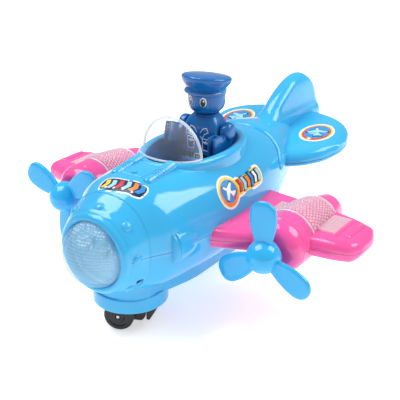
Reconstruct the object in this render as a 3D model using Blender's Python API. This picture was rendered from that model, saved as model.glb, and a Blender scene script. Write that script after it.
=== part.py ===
"""Battery-powered toy aeroplane with a swivelling drive unit, twin propellers and a pilot.

Design frame, in millimetres: the drive unit swivels about the vertical line x = 0, y = 0,
the nose points to -Y, the pilot's left wing to +X, and z = 0 is the floor.
The finished objects are shifted along Y so that the scene's origin is the middle of the
aeroplane's footprint, and are written in metres.
"""
import math

import bmesh
import bpy
import numpy as np
from mathutils import Matrix, Vector

MM = 0.001
GAP = 0.3                       # between pieces that meet
WALL = 1.8                      # moulded shells

# overall
NOSE_TIP_Y = -44.0
TAIL_END_Y = 215.0
CENTRE_Y = (NOSE_TIP_Y + TAIL_END_Y) / 2

# fuselage pod: (y, half width, height above the seam, depth below the seam)
SEAM_Z = 53.8
POD = [
    (-30.0, 20.4, 20.4, 20.4),
    (-27.0, 23.2, 23.4, 23.0),
    (-22.0, 25.0, 25.6, 24.8),
    (-15.0, 27.0, 29.4, 26.6),
    (-5.0, 32.4, 33.2, 29.0),
    (6.0, 34.8, 34.4, 30.6),
    (20.0, 36.6, 34.8, 31.2),
    (45.0, 38.5, 34.8, 31.4),
    (80.0, 37.4, 34.6, 30.6),
    (105.0, 33.2, 33.4, 28.0),
    (125.0, 27.6, 30.6, 22.4),
    (145.0, 20.6, 26.6, 15.0),
    (160.0, 15.0, 22.4, 10.0),
    (170.0, 9.6, 18.0, 6.6),
]
POD_ROUND = 2.25                # superellipse exponent of the pod's sections
POD_STEPS = 14                  # facets across one half
POD_STATIONS = (-30.0, -28.0, -25.0, -20.0, -15.0, -5.0, 8.0, 24.0, 45.0, 66.0, 86.0, 105.0,
                122.0, 138.0, 152.0, 163.0, 170.0)
POD_END = ((2.4, 0.82), (4.0, 0.5), (4.8, 0.02))      # rounded tail: (beyond the last, scale)

# cockpit
COCKPIT_Y = 62.0
COCKPIT_HALF = (21.7, 37.0)
COCKPIT_LIP = 4.0
COCKPIT_TOP = 88.8
TUB_FLOOR = 66.0
SCREEN_FRONT_Y, SCREEN_ARCH_Y = 26.5, 41.0
SCREEN_TOP_Z = 110.5
SCREEN_BASE_Z = 89.2

# pilot
PILOT_Y = 76.0
BODY_BOTTOM, NECK_Z = 75.8, 104.6
TORSO = [(75.8, 12.0, 8.6, 7.6), (94.5, 11.8, 8.0, 7.2), (99.5, 10.8, 7.4, 6.8),
         (103.2, 8.2, 5.6, 5.6), (104.6, 6.6, 5.0, 5.0)]      # (z, half width, front, rear)
HIPS_HALF, HIPS_FRONT, HIPS_REAR = 11.0, 12.0, 6.5
HEAD_R, HEAD_TOP = 11.2, 119.6
CAP_R, CAP_TOP, CAP_TILT = 15.0, 128.6, 8.0
ARM_X, ARM_Z = 15.2, 95.0
ARM_LIFT = {1: 0.0, -1: 16.0}         # forearm above level at rest, pilot's left and right
SHOULDER_R = 5.6
# side view of the sleeve about the shoulder pin: (to the rear, up)
SLEEVE = [(2.0, -12.0), (2.6, -9.0), (4.6, -3.0), (4.0, 3.0), (0.0, 5.0), (-4.0, 3.0),
          (-6.5, -3.2), (-11.0, -4.0), (-11.0, -10.6), (-3.0, -12.4)]
HAND = (-18.0, -10.6, -10.9, 0.5)     # front, rear, bottom and top about the shoulder pin

# nose
LENS_RIM_R = 18.3
LENS_RIM_Y = -30.0

# wings and nacelles
WING_Z = 50.2
WING_HALF_THICK = 6.2
WING_NOSE = 6.5                 # depth of the rounding of its edges
WING_PLAN = [(30.0, 22.5, 99.0), (55.0, 33.0, 95.5), (86.0, 47.0, 90.5), (104.0, 50.5, 84.5),
             (110.0, 53.5, 80.5), (113.0, 61.0, 72.0)]
NACELLE_X = 71.3
NACELLE = [(41.5, 15.7), (50.0, 16.0), (66.0, 15.1), (84.0, 13.0), (96.0, 10.6), (101.5, 8.9),
           (103.5, 6.8)]
CAP_PROFILE = [(41.2, 15.6), (38.0, 15.2), (35.0, 13.4), (33.0, 10.6)]
LENS_Y = (53.0, 85.0)
LENS_EARS = (51.5, 96.0, 58.0, 80.5)
LENS_FROM = 24.0                # degrees above level where the arch starts

# propellers
PROP_Y = 24.9
HUB_R = 9.4
PROP_R = 31.8
BLADE_HALF = 7.6
BLADE_THICK, BLADE_PITCH = 3.4, 6.0
PROP_TURN = {1: 92.0, -1: 35.0}
SHAFT_R = 1.5

# tail: fin levels (z, front, rear, half thickness), tailplane stations (x, front, rear, half)
FIN = [(64.0, 130.0, 215.1, 6.6), (76.0, 138.0, 211.0, 6.6), (84.0, 149.0, 209.0, 6.6),
       (90.0, 157.0, 205.0, 6.5), (95.0, 165.0, 200.0, 6.2), (99.0, 173.0, 195.0, 5.5),
       (102.0, 179.0, 190.5, 4.2), (104.0, 183.5, 186.5, 1.6)]
TAILPLANE = [(0.0, 119.0, 199.5, 6.4), (20.0, 120.5, 196.8, 6.6), (33.0, 125.0, 191.5, 6.6),
             (42.0, 134.0, 184.0, 6.3), (47.5, 143.5, 175.5, 5.4), (50.3, 153.0, 166.5, 3.6)]
TAIL_NOSE = 9.0                 # depth of the rounding of the tail's edges
TAILPLANE_PITCH = (62.5, 70.5)  # height of its middle plane at the front and rear edges
FIN_ROOM = 7.0                  # the lower halves stop this far from the middle
SADDLE_Y = (115.0, 122.0, 138.0, 152.0, 163.0, 170.0)
SADDLE_FROM = 11.5              # degrees above the seam
SADDLE_THICK = 2.2

# drive unit
SKIRT_R, SKIRT_BOTTOM = 21.4, 15.3
PAN_BOTTOM, PAN_FLOOR = 22.0, 24.0
PAN_HALF, PAN_REAR_Y = 26.0, 122.0
DRIVE_TURN = 22.0               # the unit's swivel at rest
WHEEL_R = 8.6
WHEEL_THICK = 5.0
TRACK = 13.6                    # outer face of a drive wheel from the unit's middle
TRAIL = -3.7                    # axle offset from the swivel axis
TURNTABLE_R = 18.6

# rear wheels
REAR_AXLE_Y = 108.0
REAR_X = 20.5
REAR_STRUT_X = 13.0

# power
CELL_R, CELL_LONG = 7.1, 50.0
CELL_FRONT_Y = 44.0
DOOR_HALF, BOX_HALF = 21.6, 23.2
DOOR_FRONT_Y, DOOR_REAR_Y = CELL_FRONT_Y - 2.1, CELL_FRONT_Y + CELL_LONG + 8.2
DOOR_SCREW_Y = CELL_FRONT_Y + CELL_LONG + 5.2
SWITCH_X, SWITCH_Y = 17.0, 27.0

COLOURS = {
    "sky": (0.07, 0.52, 0.83), "pink": (0.95, 0.12, 0.42), "navy": (0.01, 0.13, 0.46),
    "black": (0.012, 0.012, 0.014), "clear": (0.80, 0.88, 0.93), "steel": (0.55, 0.55, 0.57),
    "white": (0.85, 0.85, 0.83), "red": (0.62, 0.03, 0.04), "green": (0.03, 0.28, 0.12),
    "brass": (0.70, 0.48, 0.16), "cell": (0.10, 0.10, 0.11), "natural": (0.82, 0.80, 0.72),
}
METALS = ("steel", "brass")


# ---------------------------------------------------------------- objects and materials

def clear_scene():
    for obj in list(bpy.data.objects):
        bpy.data.objects.remove(obj, do_unlink=True)


def material(colour):
    mat = bpy.data.materials.get(colour)
    if mat is None:
        mat = bpy.data.materials.new(colour)
        mat.use_nodes = True
        shader = mat.node_tree.nodes["Principled BSDF"]
        shader.inputs["Base Color"].default_value = (*COLOURS[colour], 1.0)
        shader.inputs["Roughness"].default_value = 0.25 if colour not in METALS else 0.35
        shader.inputs["Metallic"].default_value = 1.0 if colour in METALS else 0.0
    return mat


def solid(name, verts, faces, colour="sky", pivot=(0.0, 0.0, 0.0)):
    """One object from design coordinates, with its origin at pivot."""
    mesh = bpy.data.meshes.new(name)
    local = [tuple((np.array(v) - pivot) * MM) for v in verts]
    mesh.from_pydata(local, [], [tuple(f) for f in faces])
    work = bmesh.new()
    work.from_mesh(mesh)
    bmesh.ops.remove_doubles(work, verts=work.verts, dist=1e-6)
    bmesh.ops.recalc_face_normals(work, faces=work.faces)
    work.to_mesh(mesh)
    work.free()
    mesh.shade_smooth()
    mesh.set_sharp_from_angle(angle=math.radians(35))
    mesh.materials.append(material(colour))
    obj = bpy.data.objects.new(name, mesh)
    obj.location = ((np.array(pivot) - (0, CENTRE_Y, 0)) * MM).tolist()
    bpy.context.scene.collection.objects.link(obj)
    return obj


def tool(verts, faces, label="cutter"):
    """A shape that only cuts or joins another object."""
    obj = solid(label, verts, faces)
    obj.hide_render = True
    obj.display_type = "WIRE"
    return obj


def boolean(obj, other, operation):
    mod = obj.modifiers.new(operation.lower(), "BOOLEAN")
    mod.object = other
    mod.operation = operation
    mod.solver = "EXACT"
    return obj


def cut(obj, *others):
    for other in others:
        boolean(obj, other, "DIFFERENCE")
    return obj


def join(obj, *others):
    for other in others:
        boolean(obj, other, "UNION")
    return obj


# ---------------------------------------------------------------- shapes

def curve(points, column):
    """A smooth function of the first column through one column of a design table."""
    xs = np.array([p[0] for p in points], float)
    ys = np.array([p[column] for p in points], float)
    slope = np.gradient(ys, xs)

    def value(x):
        x = float(np.clip(x, xs[0], xs[-1]))
        i = int(np.clip(np.searchsorted(xs, x) - 1, 0, len(xs) - 2))
        h = xs[i + 1] - xs[i]
        t = (x - xs[i]) / h
        return ((2 * t**3 - 3 * t**2 + 1) * ys[i] + (t**3 - 2 * t**2 + t) * h * slope[i]
                + (3 * t**2 - 2 * t**3) * ys[i + 1] + (t**3 - t**2) * h * slope[i + 1])
    return value


pod_width, pod_top, pod_depth = (curve(POD, column) for column in (1, 2, 3))


def rings(loops):
    """Skin a list of equal closed loops; each end is one face."""
    count = len(loops[0])
    verts = [v for loop in loops for v in loop]
    faces = []
    for r in range(len(loops) - 1):
        for i in range(count):
            j = (i + 1) % count
            faces.append((r * count + i, r * count + j, (r + 1) * count + j, (r + 1) * count + i))
    faces.append(tuple(range(count)))
    faces.append(tuple(range((len(loops) - 1) * count, len(loops) * count)))
    return verts, faces


def superellipse(angle, wide, high, power):
    c, s = math.cos(angle), math.sin(angle)
    return (wide * math.copysign(abs(c) ** (2 / power), c),
            high * math.copysign(abs(s) ** (2 / power), s))


def slab(angle, half, thick, nose, power):
    """A section with flat faces and thick rounded edges, as (along, up)."""
    nose = min(nose, 0.98 * half)
    along, up = superellipse(angle, nose, thick, power)
    return along + math.copysign(half - nose, math.cos(angle)), up


def pod_section(y, grow, start, end, steps, scale=1.0, beyond=0.0):
    """Points of the pod's outline at y between two angles, moved outward by grow."""
    points = []
    for k in range(steps + 1):
        angle = start + (end - start) * k / steps
        high = (pod_top(y) if math.sin(angle) >= 0 else pod_depth(y)) + grow
        x, z = superellipse(angle, pod_width(y) + grow, high, POD_ROUND)
        points.append((x * scale, y + beyond, SEAM_Z + z * scale))
    return points


def pod_loops(grow, start, end, steps):
    """Outlines at every station, then the rounded tail end."""
    last = POD_STATIONS[-1]
    loops = [pod_section(y, grow, start, end, steps) for y in POD_STATIONS]
    return loops + [pod_section(last, grow, start, end, steps, scale, beyond + grow)
                    for beyond, scale in POD_END]


def pod_solid(grow):
    """The whole pod moved outward by grow."""
    return rings([loop[:-1] for loop in pod_loops(grow, 0, 2 * math.pi, 2 * POD_STEPS)])


def pod_half(sign):
    """One moulded half of the pod, from its seam to the crown or the keel."""
    outer = pod_loops(0.0, 0.0, sign * math.pi, POD_STEPS)
    inner = pod_loops(-WALL, 0.0, sign * math.pi, POD_STEPS)
    return rings([[(x, y, z + sign * GAP / 2) for x, y, z in o + i[::-1]]
                  for o, i in zip(outer, inner)])


def lathe(profile, centre, axis="z", steps=24, loop=False):
    """Turn (radius, distance) pairs round an axis through centre."""
    verts, faces = [], []
    for k in range(steps):
        a = 2 * math.pi * k / steps
        for radius, along in profile:
            u, v = radius * math.cos(a), radius * math.sin(a)
            offset = {"x": (along, u, v), "y": (u, along, v), "z": (u, v, along)}[axis]
            verts.append(tuple(np.array(centre) + offset))
    count = len(profile)
    for k in range(steps):
        m = (k + 1) % steps
        for i in range(count if loop else count - 1):
            j = (i + 1) % count
            faces.append((k * count + i, k * count + j, m * count + j, m * count + i))
    if not loop:
        if profile[0][0] > 1e-6:
            faces.append(tuple(k * count for k in range(steps)))
        if profile[-1][0] > 1e-6:
            faces.append(tuple(k * count + count - 1 for k in range(steps)))
    return verts, faces


def rod(radius, low, high, centre=(0, 0, 0), axis="z", steps=20):
    return lathe([(radius, low), (radius, high)], centre, axis, steps)


def tube(outer, inner, low, high, centre=(0, 0, 0), axis="z", steps=32):
    return lathe([(outer, low), (outer, high), (inner, high), (inner, low)], centre, axis,
                 steps, loop=True)


def prism(outline, low, high, axis="z"):
    order = {"x": lambda a, b, c: (c, a, b), "y": lambda a, b, c: (a, c, b),
             "z": lambda a, b, c: (a, b, c)}[axis]
    loops = [[order(a, b, c) for a, b in outline] for c in (low, high)]
    return rings(loops)


def block(x0, x1, y0, y1, z0, z1):
    return prism([(x0, y0), (x1, y0), (x1, y1), (x0, y1)], z0, z1)


def rounded(x0, x1, y0, y1, radius, steps=4):
    points = []
    corners = [(x1, y1, 0), (x0, y1, 90), (x0, y0, 180), (x1, y0, 270)]
    for cx, cy, start in corners:
        mx = cx - math.copysign(radius, cx - (x0 + x1) / 2)
        my = cy - math.copysign(radius, cy - (y0 + y1) / 2)
        for k in range(steps + 1):
            a = math.radians(start + 90 * k / steps)
            points.append((mx + radius * math.cos(a), my + radius * math.sin(a)))
    return points


def gear(teeth, radius, low, high, bore=0.0, centre=(0, 0, 0), axis="z"):
    """A spur gear outline with one flat-topped tooth per pitch."""
    depth = 2.0 * radius / teeth
    outline = []
    for k in range(teeth * 4):
        r = radius + depth * (0.42 if k % 4 in (0, 1) else -0.55)
        a = 2 * math.pi * (k + (0.2 if k % 4 in (0, 2) else -0.2)) / (teeth * 4)
        outline.append((r * math.cos(a), r * math.sin(a)))
    verts, faces = prism(outline, low, high, axis)
    return [tuple(np.array(centre) + v) for v in verts], faces


def mirrored(verts, side):
    return [(side * x, y, z) for x, y, z in verts]


def turned(verts, degrees, pivot, axis):
    turn = Matrix.Rotation(math.radians(degrees), 3, axis)
    return [tuple(turn @ (Vector(v) - Vector(pivot)) + Vector(pivot)) for v in verts]


def side_name(side):
    return "left" if side > 0 else "right"


# ---------------------------------------------------------------- fuselage

def pan_outline(inset):
    """Plan of the belly pan: round the swivel at the front, straight-sided, round at the rear."""
    front, half = SKIRT_R - 1.0 - inset, PAN_HALF - inset
    rear = PAN_REAR_Y - inset
    points = [(front * math.cos(a), front * math.sin(a))
              for a in np.linspace(math.radians(200), math.radians(340), 15)]
    points += [(front, 2.0), (half, 26.0), (half, rear - 24.0)]
    points += [(half * math.cos(a), rear - 24.0 + 24.0 * math.sin(a))
               for a in np.linspace(math.radians(15), math.radians(165), 11)]
    points += [(-half, rear - 24.0), (-half, 26.0), (-front, 2.0)]
    return points


def cockpit_outline(grow, steps=28):
    return [((COCKPIT_HALF[0] + grow) * math.cos(a), COCKPIT_Y + (COCKPIT_HALF[1] + grow)
             * math.sin(a)) for a in (2 * math.pi * k / steps for k in range(steps))]


def make_fuselage():
    upper = solid("fuselage_upper", *pod_half(1))
    lip = tool(*prism(cockpit_outline(COCKPIT_LIP), 78.0, COCKPIT_TOP), "cockpit_lip_tool")
    cut(lip, tool(*pod_solid(-0.7), "pod_inner_tool"))
    join(upper, lip)
    cut(upper, tool(*prism(cockpit_outline(0.0), 60.0, 95.0), "cockpit_cutter"))
    lower = solid("fuselage_lower", *pod_half(-1))
    cut(lower, tool(*prism(pan_outline(2.4), 10.0, 42.0), "pan_cutter"))
    return upper, lower


def make_belly_pan():
    pan = solid("belly_pan", *prism(pan_outline(0.0), PAN_BOTTOM, 40.0))
    cut(pan, tool(*prism(pan_outline(2.4), PAN_FLOOR, 50.0), "pan_hollow"))
    half = DOOR_HALF + GAP
    cut(pan, tool(*block(-half, half, DOOR_FRONT_Y - GAP, DOOR_REAR_Y + GAP, 10, 30),
                  "door_opening"))
    cut(pan, tool(*rod(7.6, 5, 30), "swivel_hole"))
    join(pan, tool(*tube(SKIRT_R, SKIRT_R - 2.0, SKIRT_BOTTOM, PAN_BOTTOM + 1.0), "skirt_tool"))
    cut(pan, tool(*pod_solid(GAP), "pod_envelope"))
    cut(pan, tool(*block(SWITCH_X - 4, SWITCH_X + 4, SWITCH_Y - 5, SWITCH_Y + 5, 10, 23.4),
                  "switch_recess"))
    cut(pan, tool(*block(SWITCH_X - 2, SWITCH_X + 2, SWITCH_Y - 4, SWITCH_Y + 4, 10, 30),
                  "switch_slot"))
    for x in (-REAR_STRUT_X, REAR_STRUT_X):
        strut = tool(*block(x - 1.6, x + 1.6, REAR_AXLE_Y - 4.5, REAR_AXLE_Y + 4.5, 4.6,
                            PAN_FLOOR - 1.0), "strut_tool")
        join(pan, strut)
        cut(pan, tool(*rod(1.5 + GAP, x - 4, x + 4, (0, REAR_AXLE_Y, WHEEL_R), "x", 12),
                      "axle_hole"))
    return pan


# ---------------------------------------------------------------- nose

def make_nose():
    bulge = [(0.0, NOSE_TIP_Y), (5.0, NOSE_TIP_Y + 0.6), (10.0, NOSE_TIP_Y + 2.8),
             (14.0, NOSE_TIP_Y + 6.0), (16.8, NOSE_TIP_Y + 10.0), (LENS_RIM_R, LENS_RIM_Y + 0.6)]
    outer = bulge + [(LENS_RIM_R, -27.0)]
    inner = [(max(r - 1.6, 0.0), y + 1.6) for r, y in bulge[:-1]]
    inner = [(LENS_RIM_R - 1.6, -27.0)] + inner[::-1]
    centre = (0, 0, SEAM_Z)
    solid("nose_lens", *lathe(outer + inner, centre, "y", 24), "clear")
    plate = solid("nose_reflector", *lathe([(0, -24.2), (17.4, -24.2), (18.0, -26.6), (19.4, -26.6),
                                            (19.4, -22.6), (0, -22.6)], centre, "y", 28), "clear")
    for side in (1, -1):
        x, z = side * 6.5, SEAM_Z + 4.0
        cut(plate, tool(*rod(1.9, -30, -20, (x, 0, z), "y", 12), "lamp_hole"))
        profile = [(1.5, -19.0), (1.5, -29.0), (1.1, -30.4), (0.0, -31.0)]
        solid(f"nose_lamp_{side_name(side)}", *lathe(profile, (x, 0, z), "y", 12), "white")


# ---------------------------------------------------------------- cockpit and pilot

def make_cockpit():
    def bowl(levels):
        return rings([[(x, y, z) for x, y in cockpit_outline(grow)] for grow, z in levels])

    tub = solid("cockpit_tub", *bowl([(-4.0, TUB_FLOOR - 1.6), (-1.6, TUB_FLOOR + 3.0),
                                      (-0.4, 87.6)]), "navy")
    cut(tub, tool(*bowl([(-6.0, TUB_FLOOR), (-3.4, TUB_FLOOR + 4.0), (-2.0, 92.0)]),
                  "tub_hollow"))
    rows = 5
    outer, inner = [], []
    for k in range(rows + 1):
        t = k / rows
        y = SCREEN_FRONT_Y + (SCREEN_ARCH_Y - SCREEN_FRONT_Y) * t
        scale = math.sqrt(1 - (1 - t) ** 2 * 0.98)
        for grow, store in ((0.0, outer), (-1.4, inner)):
            wide = (20.6 + grow) * scale
            high = (SCREEN_TOP_Z - SCREEN_BASE_Z + grow) * scale
            store.append([(wide * math.cos(a), y - grow * (1 - t) * 0.9, SCREEN_BASE_Z
                           + high * math.sin(a)) for a in np.linspace(0, math.pi, 13)])
    loops = [o + i[::-1] for o, i in zip(outer, inner)]
    solid("windscreen", *rings(loops), "clear")


def make_pilot():
    torso = []
    for z, half, front, rear in TORSO:
        outline = rounded(-half, half, PILOT_Y - front, PILOT_Y + rear, 2.6, 3)
        torso.append([(x, y, z) for x, y in outline])
    body = solid("pilot_body", *rings(torso), "navy")
    join(body, tool(*block(-HIPS_HALF, HIPS_HALF, PILOT_Y - HIPS_FRONT, PILOT_Y + HIPS_REAR,
                           TUB_FLOOR + GAP, BODY_BOTTOM + 2.0), "hips_tool"))
    centre = (0, PILOT_Y, 0)
    neck = (0, PILOT_Y, NECK_Z)
    head = [(0, NECK_Z + GAP), (6.0, NECK_Z + GAP), (9.2, NECK_Z + 1.6), (10.8, NECK_Z + 4.6),
            (HEAD_R, NECK_Z + 8.0), (HEAD_R - 0.4, HEAD_TOP - 3.4), (0, HEAD_TOP - 3.4)]
    solid("pilot_head", *lathe(head, centre, "z", 24), "navy", neck)
    cap = [(0, HEAD_TOP - 3.0), (11.6, HEAD_TOP - 3.0), (11.8, HEAD_TOP - 0.6),
           (12.4, HEAD_TOP + 0.8), (14.6, HEAD_TOP + 4.0), (CAP_R, HEAD_TOP + 5.8),
           (13.4, CAP_TOP - 1.8), (0, CAP_TOP - 1.2)]
    verts, faces = lathe(cap, centre, "z", 24)
    slope = math.tan(math.radians(CAP_TILT))
    verts = [(x, y, z + (PILOT_Y - y) * slope * min(max((z - HEAD_TOP) / 6.0, 0.0), 1.0))
             for x, y, z in verts]
    cap_obj = solid("pilot_cap", verts, faces, "navy", neck)
    visor = [((12.4 + 1.0 * max(math.sin(a), 0)) * math.cos(a),
              PILOT_Y - (10.0 + 3.6 * math.sin(a))) for a in np.linspace(0, math.pi, 13)]
    join(cap_obj, tool(*prism(visor, HEAD_TOP - 2.0, HEAD_TOP - 0.6), "visor_tool"))
    for side in (1, -1):
        make_arm(side)


def make_arm(side):
    """A shoulder disc, a sleeve bent at the elbow and a clip hand open at its front."""
    pivot = (side * ARM_X, PILOT_Y, ARM_Z)
    front, rear, bottom, top = HAND

    def lift(shape):
        return turned(mirrored(shape[0], side), -ARM_LIFT[side], pivot, "X"), shape[1]

    shoulder = rod(SHOULDER_R, ARM_X - 2.5, ARM_X + 3.4, (0, PILOT_Y, ARM_Z), "x", 16)
    verts, faces = lift(shoulder)
    arm = solid(f"pilot_arm_{side_name(side)}", verts, faces, "navy", pivot)
    sleeve = prism([(PILOT_Y + y, ARM_Z + z) for y, z in SLEEVE], ARM_X - 2.3, ARM_X + 1.0, "x")
    join(arm, tool(*lift(sleeve), "sleeve_tool"))
    hand = block(ARM_X - 2.8, ARM_X + 2.8, PILOT_Y + front, PILOT_Y + rear, ARM_Z + bottom,
                 ARM_Z + top)
    join(arm, tool(*lift(hand), "hand_tool"))
    grip = block(ARM_X - 1.4, ARM_X + 1.4, PILOT_Y + front - 4.0, PILOT_Y + rear - 1.6,
                 ARM_Z + bottom - 4.0, ARM_Z + top + 4.0)
    cut(arm, tool(*lift(grip), "grip_cutter"))


# ---------------------------------------------------------------- wings

def wing_solid(grow, root_x=28.0):
    """The wing without its nacelle, as loops along the span."""
    front, rear = curve(WING_PLAN, 1), curve(WING_PLAN, 2)
    loops = []
    for x in (root_x, 55, 86, 104, 109, 112.4):
        near_tip = max(0.0, (x - 104.0) / 9.0)
        thick = WING_HALF_THICK * math.sqrt(max(1 - near_tip**2 * 0.8, 0.05)) + grow
        y0, y1 = front(max(x, 30.0)) - grow, rear(max(x, 30.0)) + grow
        mid, half = (y0 + y1) / 2, (y1 - y0) / 2
        loop = []
        for k in range(16):
            y, z = slab(2 * math.pi * (k + 0.5) / 16, half, thick, WING_NOSE + grow, 2.4)
            loop.append((x + min(grow, 0) * near_tip, mid + y, WING_Z + z))
        loops.append(loop)
    return rings(loops)


def nacelle_solid(grow):
    """The nacelle's body; a shrunken one runs on forward to open its mouth."""
    first, radius = NACELLE[0]
    profile = [(0.0, first), (radius + grow, first)]
    if grow < 0:
        profile = [(0.0, first - 2.0), (radius + grow, first - 2.0)]
    profile += [(radius + grow, y) for y, radius in NACELLE[1:-1]]
    last, radius = NACELLE[-1]
    profile += [(radius + grow, last + grow), (0.0, last + grow)]
    return lathe(profile, (NACELLE_X, 0, WING_Z), "y", 24)


def make_wing(side):
    name = side_name(side)

    def mirror(shape):
        return mirrored(shape[0], side), shape[1]

    envelope = tool(*mirror(pod_solid(GAP)), "pod_envelope")
    wing_in = tool(*mirror(wing_solid(-WALL, 20.0)), "wing_hollow")
    nacelle_out = tool(*mirror(nacelle_solid(0.0)), "nacelle_tool")
    nacelle_in = tool(*mirror(nacelle_solid(-WALL)), "nacelle_hollow")
    cap_room = tool(*mirror(rod(16.0, 10.0, NACELLE[0][0] - 0.1, (NACELLE_X, 0, WING_Z), "y", 24)),
                    "cap_room")
    pocket = tool(*mirror(lens_arch(2.0, WALL + 1.0, GAP)), "lens_opening")
    for half, sign in (("upper", 1), ("lower", -1)):
        shell = solid(f"wing_{name}_{half}", *mirror(wing_solid(0.0)), "pink")
        join(shell, nacelle_out)
        cut(shell, wing_in, nacelle_in, envelope, cap_room)
        z0, z1 = (0.0, WING_Z + GAP / 2) if sign > 0 else (WING_Z - GAP / 2, 90.0)
        other = block(10, 130, -10, 140, z0, z1)
        cut(shell, tool(*mirror(other), "half_cutter"))
        if sign > 0:
            cut(shell, pocket)
    cap_outer = [(r, y) for y, r in CAP_PROFILE]
    cap_inner = [(r - WALL, y + (WALL if k else 0.0)) for k, (r, y) in enumerate(cap_outer)]
    cap_inner[-1] = (SHAFT_R + GAP, CAP_PROFILE[-1][0] + WALL)
    ring = cap_outer + [(SHAFT_R + GAP, CAP_PROFILE[-1][0])] + cap_inner[::-1]
    cap = lathe(ring, (NACELLE_X, 0, WING_Z), "y", 24, loop=True)
    solid(f"nacelle_cap_{name}", *mirror(cap), "pink")
    lens = solid(f"wing_lens_{name}", *mirror(lens_arch(0.9, 0.9, 0.0)), "clear")
    deck = WING_Z + WING_HALF_THICK + GAP + 0.2
    join(lens, tool(*mirror(block(*LENS_EARS, deck, deck + 1.2)), "ear_tool"))
    lamp = rod(1.5, -4.0, 0.0, (NACELLE_X, 66.0, WING_Z + 6.0), "z", 10)
    solid(f"wing_lamp_{name}", *mirror(lamp), "white")


def lens_arch(proud, sunk, grow):
    """The clear panel's arch over the nacelle, between two radii about the nacelle's skin."""
    radius = curve(NACELLE, 1)
    first = math.radians(LENS_FROM - (1.5 if grow else 0.0))
    angles = np.linspace(first, math.pi - first, 11)
    loops = []
    for y in np.linspace(LENS_Y[0] - grow, LENS_Y[1] + grow, 4):
        arch = [[(NACELLE_X + r * math.cos(a), y, WING_Z + r * math.sin(a)) for a in angles]
                for r in (radius(y) + proud, radius(y) - sunk)]
        loops.append(arch[0] + arch[1][::-1])
    return rings(loops)


# ---------------------------------------------------------------- propellers

def make_propeller(side):
    name = side_name(side)
    centre = (side * NACELLE_X, PROP_Y, WING_Z)
    hub = [(0.0, -HUB_R)]
    hub += [(HUB_R * math.sin(a), -HUB_R * math.cos(a)) for a in np.radians([22, 45, 67, 90])]
    hub += [(HUB_R, 4.0), (SHAFT_R + GAP, 4.0), (SHAFT_R + GAP, -4.0), (0.0, -4.0)]
    prop = solid(f"propeller_{name}", *lathe(hub, centre, "y", 24), "sky", centre)
    for blade in range(3):
        wide = PROP_R - BLADE_HALF
        outline = [(HUB_R * 0.6, -3.6), (14.0, -6.0), (19.0, -BLADE_HALF), (wide, -BLADE_HALF)]
        outline += [(wide + BLADE_HALF * math.cos(a), BLADE_HALF * math.sin(a))
                    for a in np.radians([-60, -30, 0, 30, 60])]
        outline += [(x, -y) for x, y in outline[3::-1]]
        verts, faces = prism(outline, -BLADE_THICK / 2, BLADE_THICK / 2, "y")
        verts = turned(verts, BLADE_PITCH, (0, 0, 0), "X")
        verts = [tuple(np.array(v) + centre) for v in verts]
        verts = turned(verts, -(PROP_TURN[side] + 120 * blade), centre, "Y")
        join(prop, tool(verts, faces, "blade_tool"))
    pin = [(0.0, 21.9), (SHAFT_R, 21.9), (SHAFT_R, 44.0), (3.0, 44.0), (3.0, 46.0), (0.0, 46.0)]
    solid(f"propeller_pin_{name}", *lathe(pin, (side * NACELLE_X, 0, WING_Z), "y", 12), "steel")


# ---------------------------------------------------------------- tail

def tail_height(y):
    front, rear = TAILPLANE[0][1], TAILPLANE[0][2]
    low, high = TAILPLANE_PITCH
    return low + (high - low) * (y - front) / (rear - front)


def tailplane_solid(side, low, high):
    """Half of the tailplane: loops along the span, thick in z, between two height factors."""
    loops = []
    for x, front, rear, thick in TAILPLANE:
        mid, half = (front + rear) / 2, (rear - front) / 2
        loop = []
        for k in range(20):
            y, z = slab(2 * math.pi * (k + 0.5) / 20, half, thick, TAIL_NOSE, 2.3)
            z = min(max(z, low * thick), high * thick)
            loop.append((side * x, mid + y, tail_height(mid + y) + z))
        loops.append(loop)
    return rings(loops)


def make_tail():
    loops = []
    for z, front, rear, half in FIN:
        mid, long = (front + rear) / 2, (rear - front) / 2
        loop = []
        for k in range(20):
            y, x = slab(2 * math.pi * (k + 0.5) / 20, long, half, TAIL_NOSE, 2.3)
            loop.append((x, mid + y, z))
        loops.append(loop)
    tail = solid("tail_upper", *rings(loops))
    for side in (1, -1):
        join(tail, tool(*tailplane_solid(side, 0.05, 1.0), "tailplane_tool"))
    edge = math.radians(SADDLE_FROM)
    saddle = [pod_section(y, SADDLE_THICK, edge, math.pi - edge, POD_STEPS) for y in SADDLE_Y]
    join(tail, tool(*rings(saddle), "saddle_tool"))
    cut(tail, tool(*pod_solid(GAP), "pod_envelope"))
    for side in (1, -1):
        lower = solid(f"tailplane_lower_{side_name(side)}", *tailplane_solid(side, -0.5, -0.02))
        trim = block(*sorted((side * FIN_ROOM, -side * 30)), 90, 240, 30, 90)
        cut(lower, tool(*trim, "middle_cutter"))
        cut(lower, tool(*pod_solid(SADDLE_THICK + GAP), "saddle_envelope"))


# ---------------------------------------------------------------- drive train

def unit_point(along, across):
    """From the drive unit's own frame: along its axle, across towards its front."""
    a = math.radians(DRIVE_TURN)
    axle = np.array([math.sin(a), -math.cos(a)])
    ahead = np.array([math.cos(a), math.sin(a)])
    return axle * along + ahead * across


def to_unit(verts):
    """Map x = across, y = along the axle, z = up into the design frame."""
    out = []
    for x, y, z in verts:
        p = unit_point(y, x)
        out.append((p[0], p[1], z))
    return out


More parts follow.
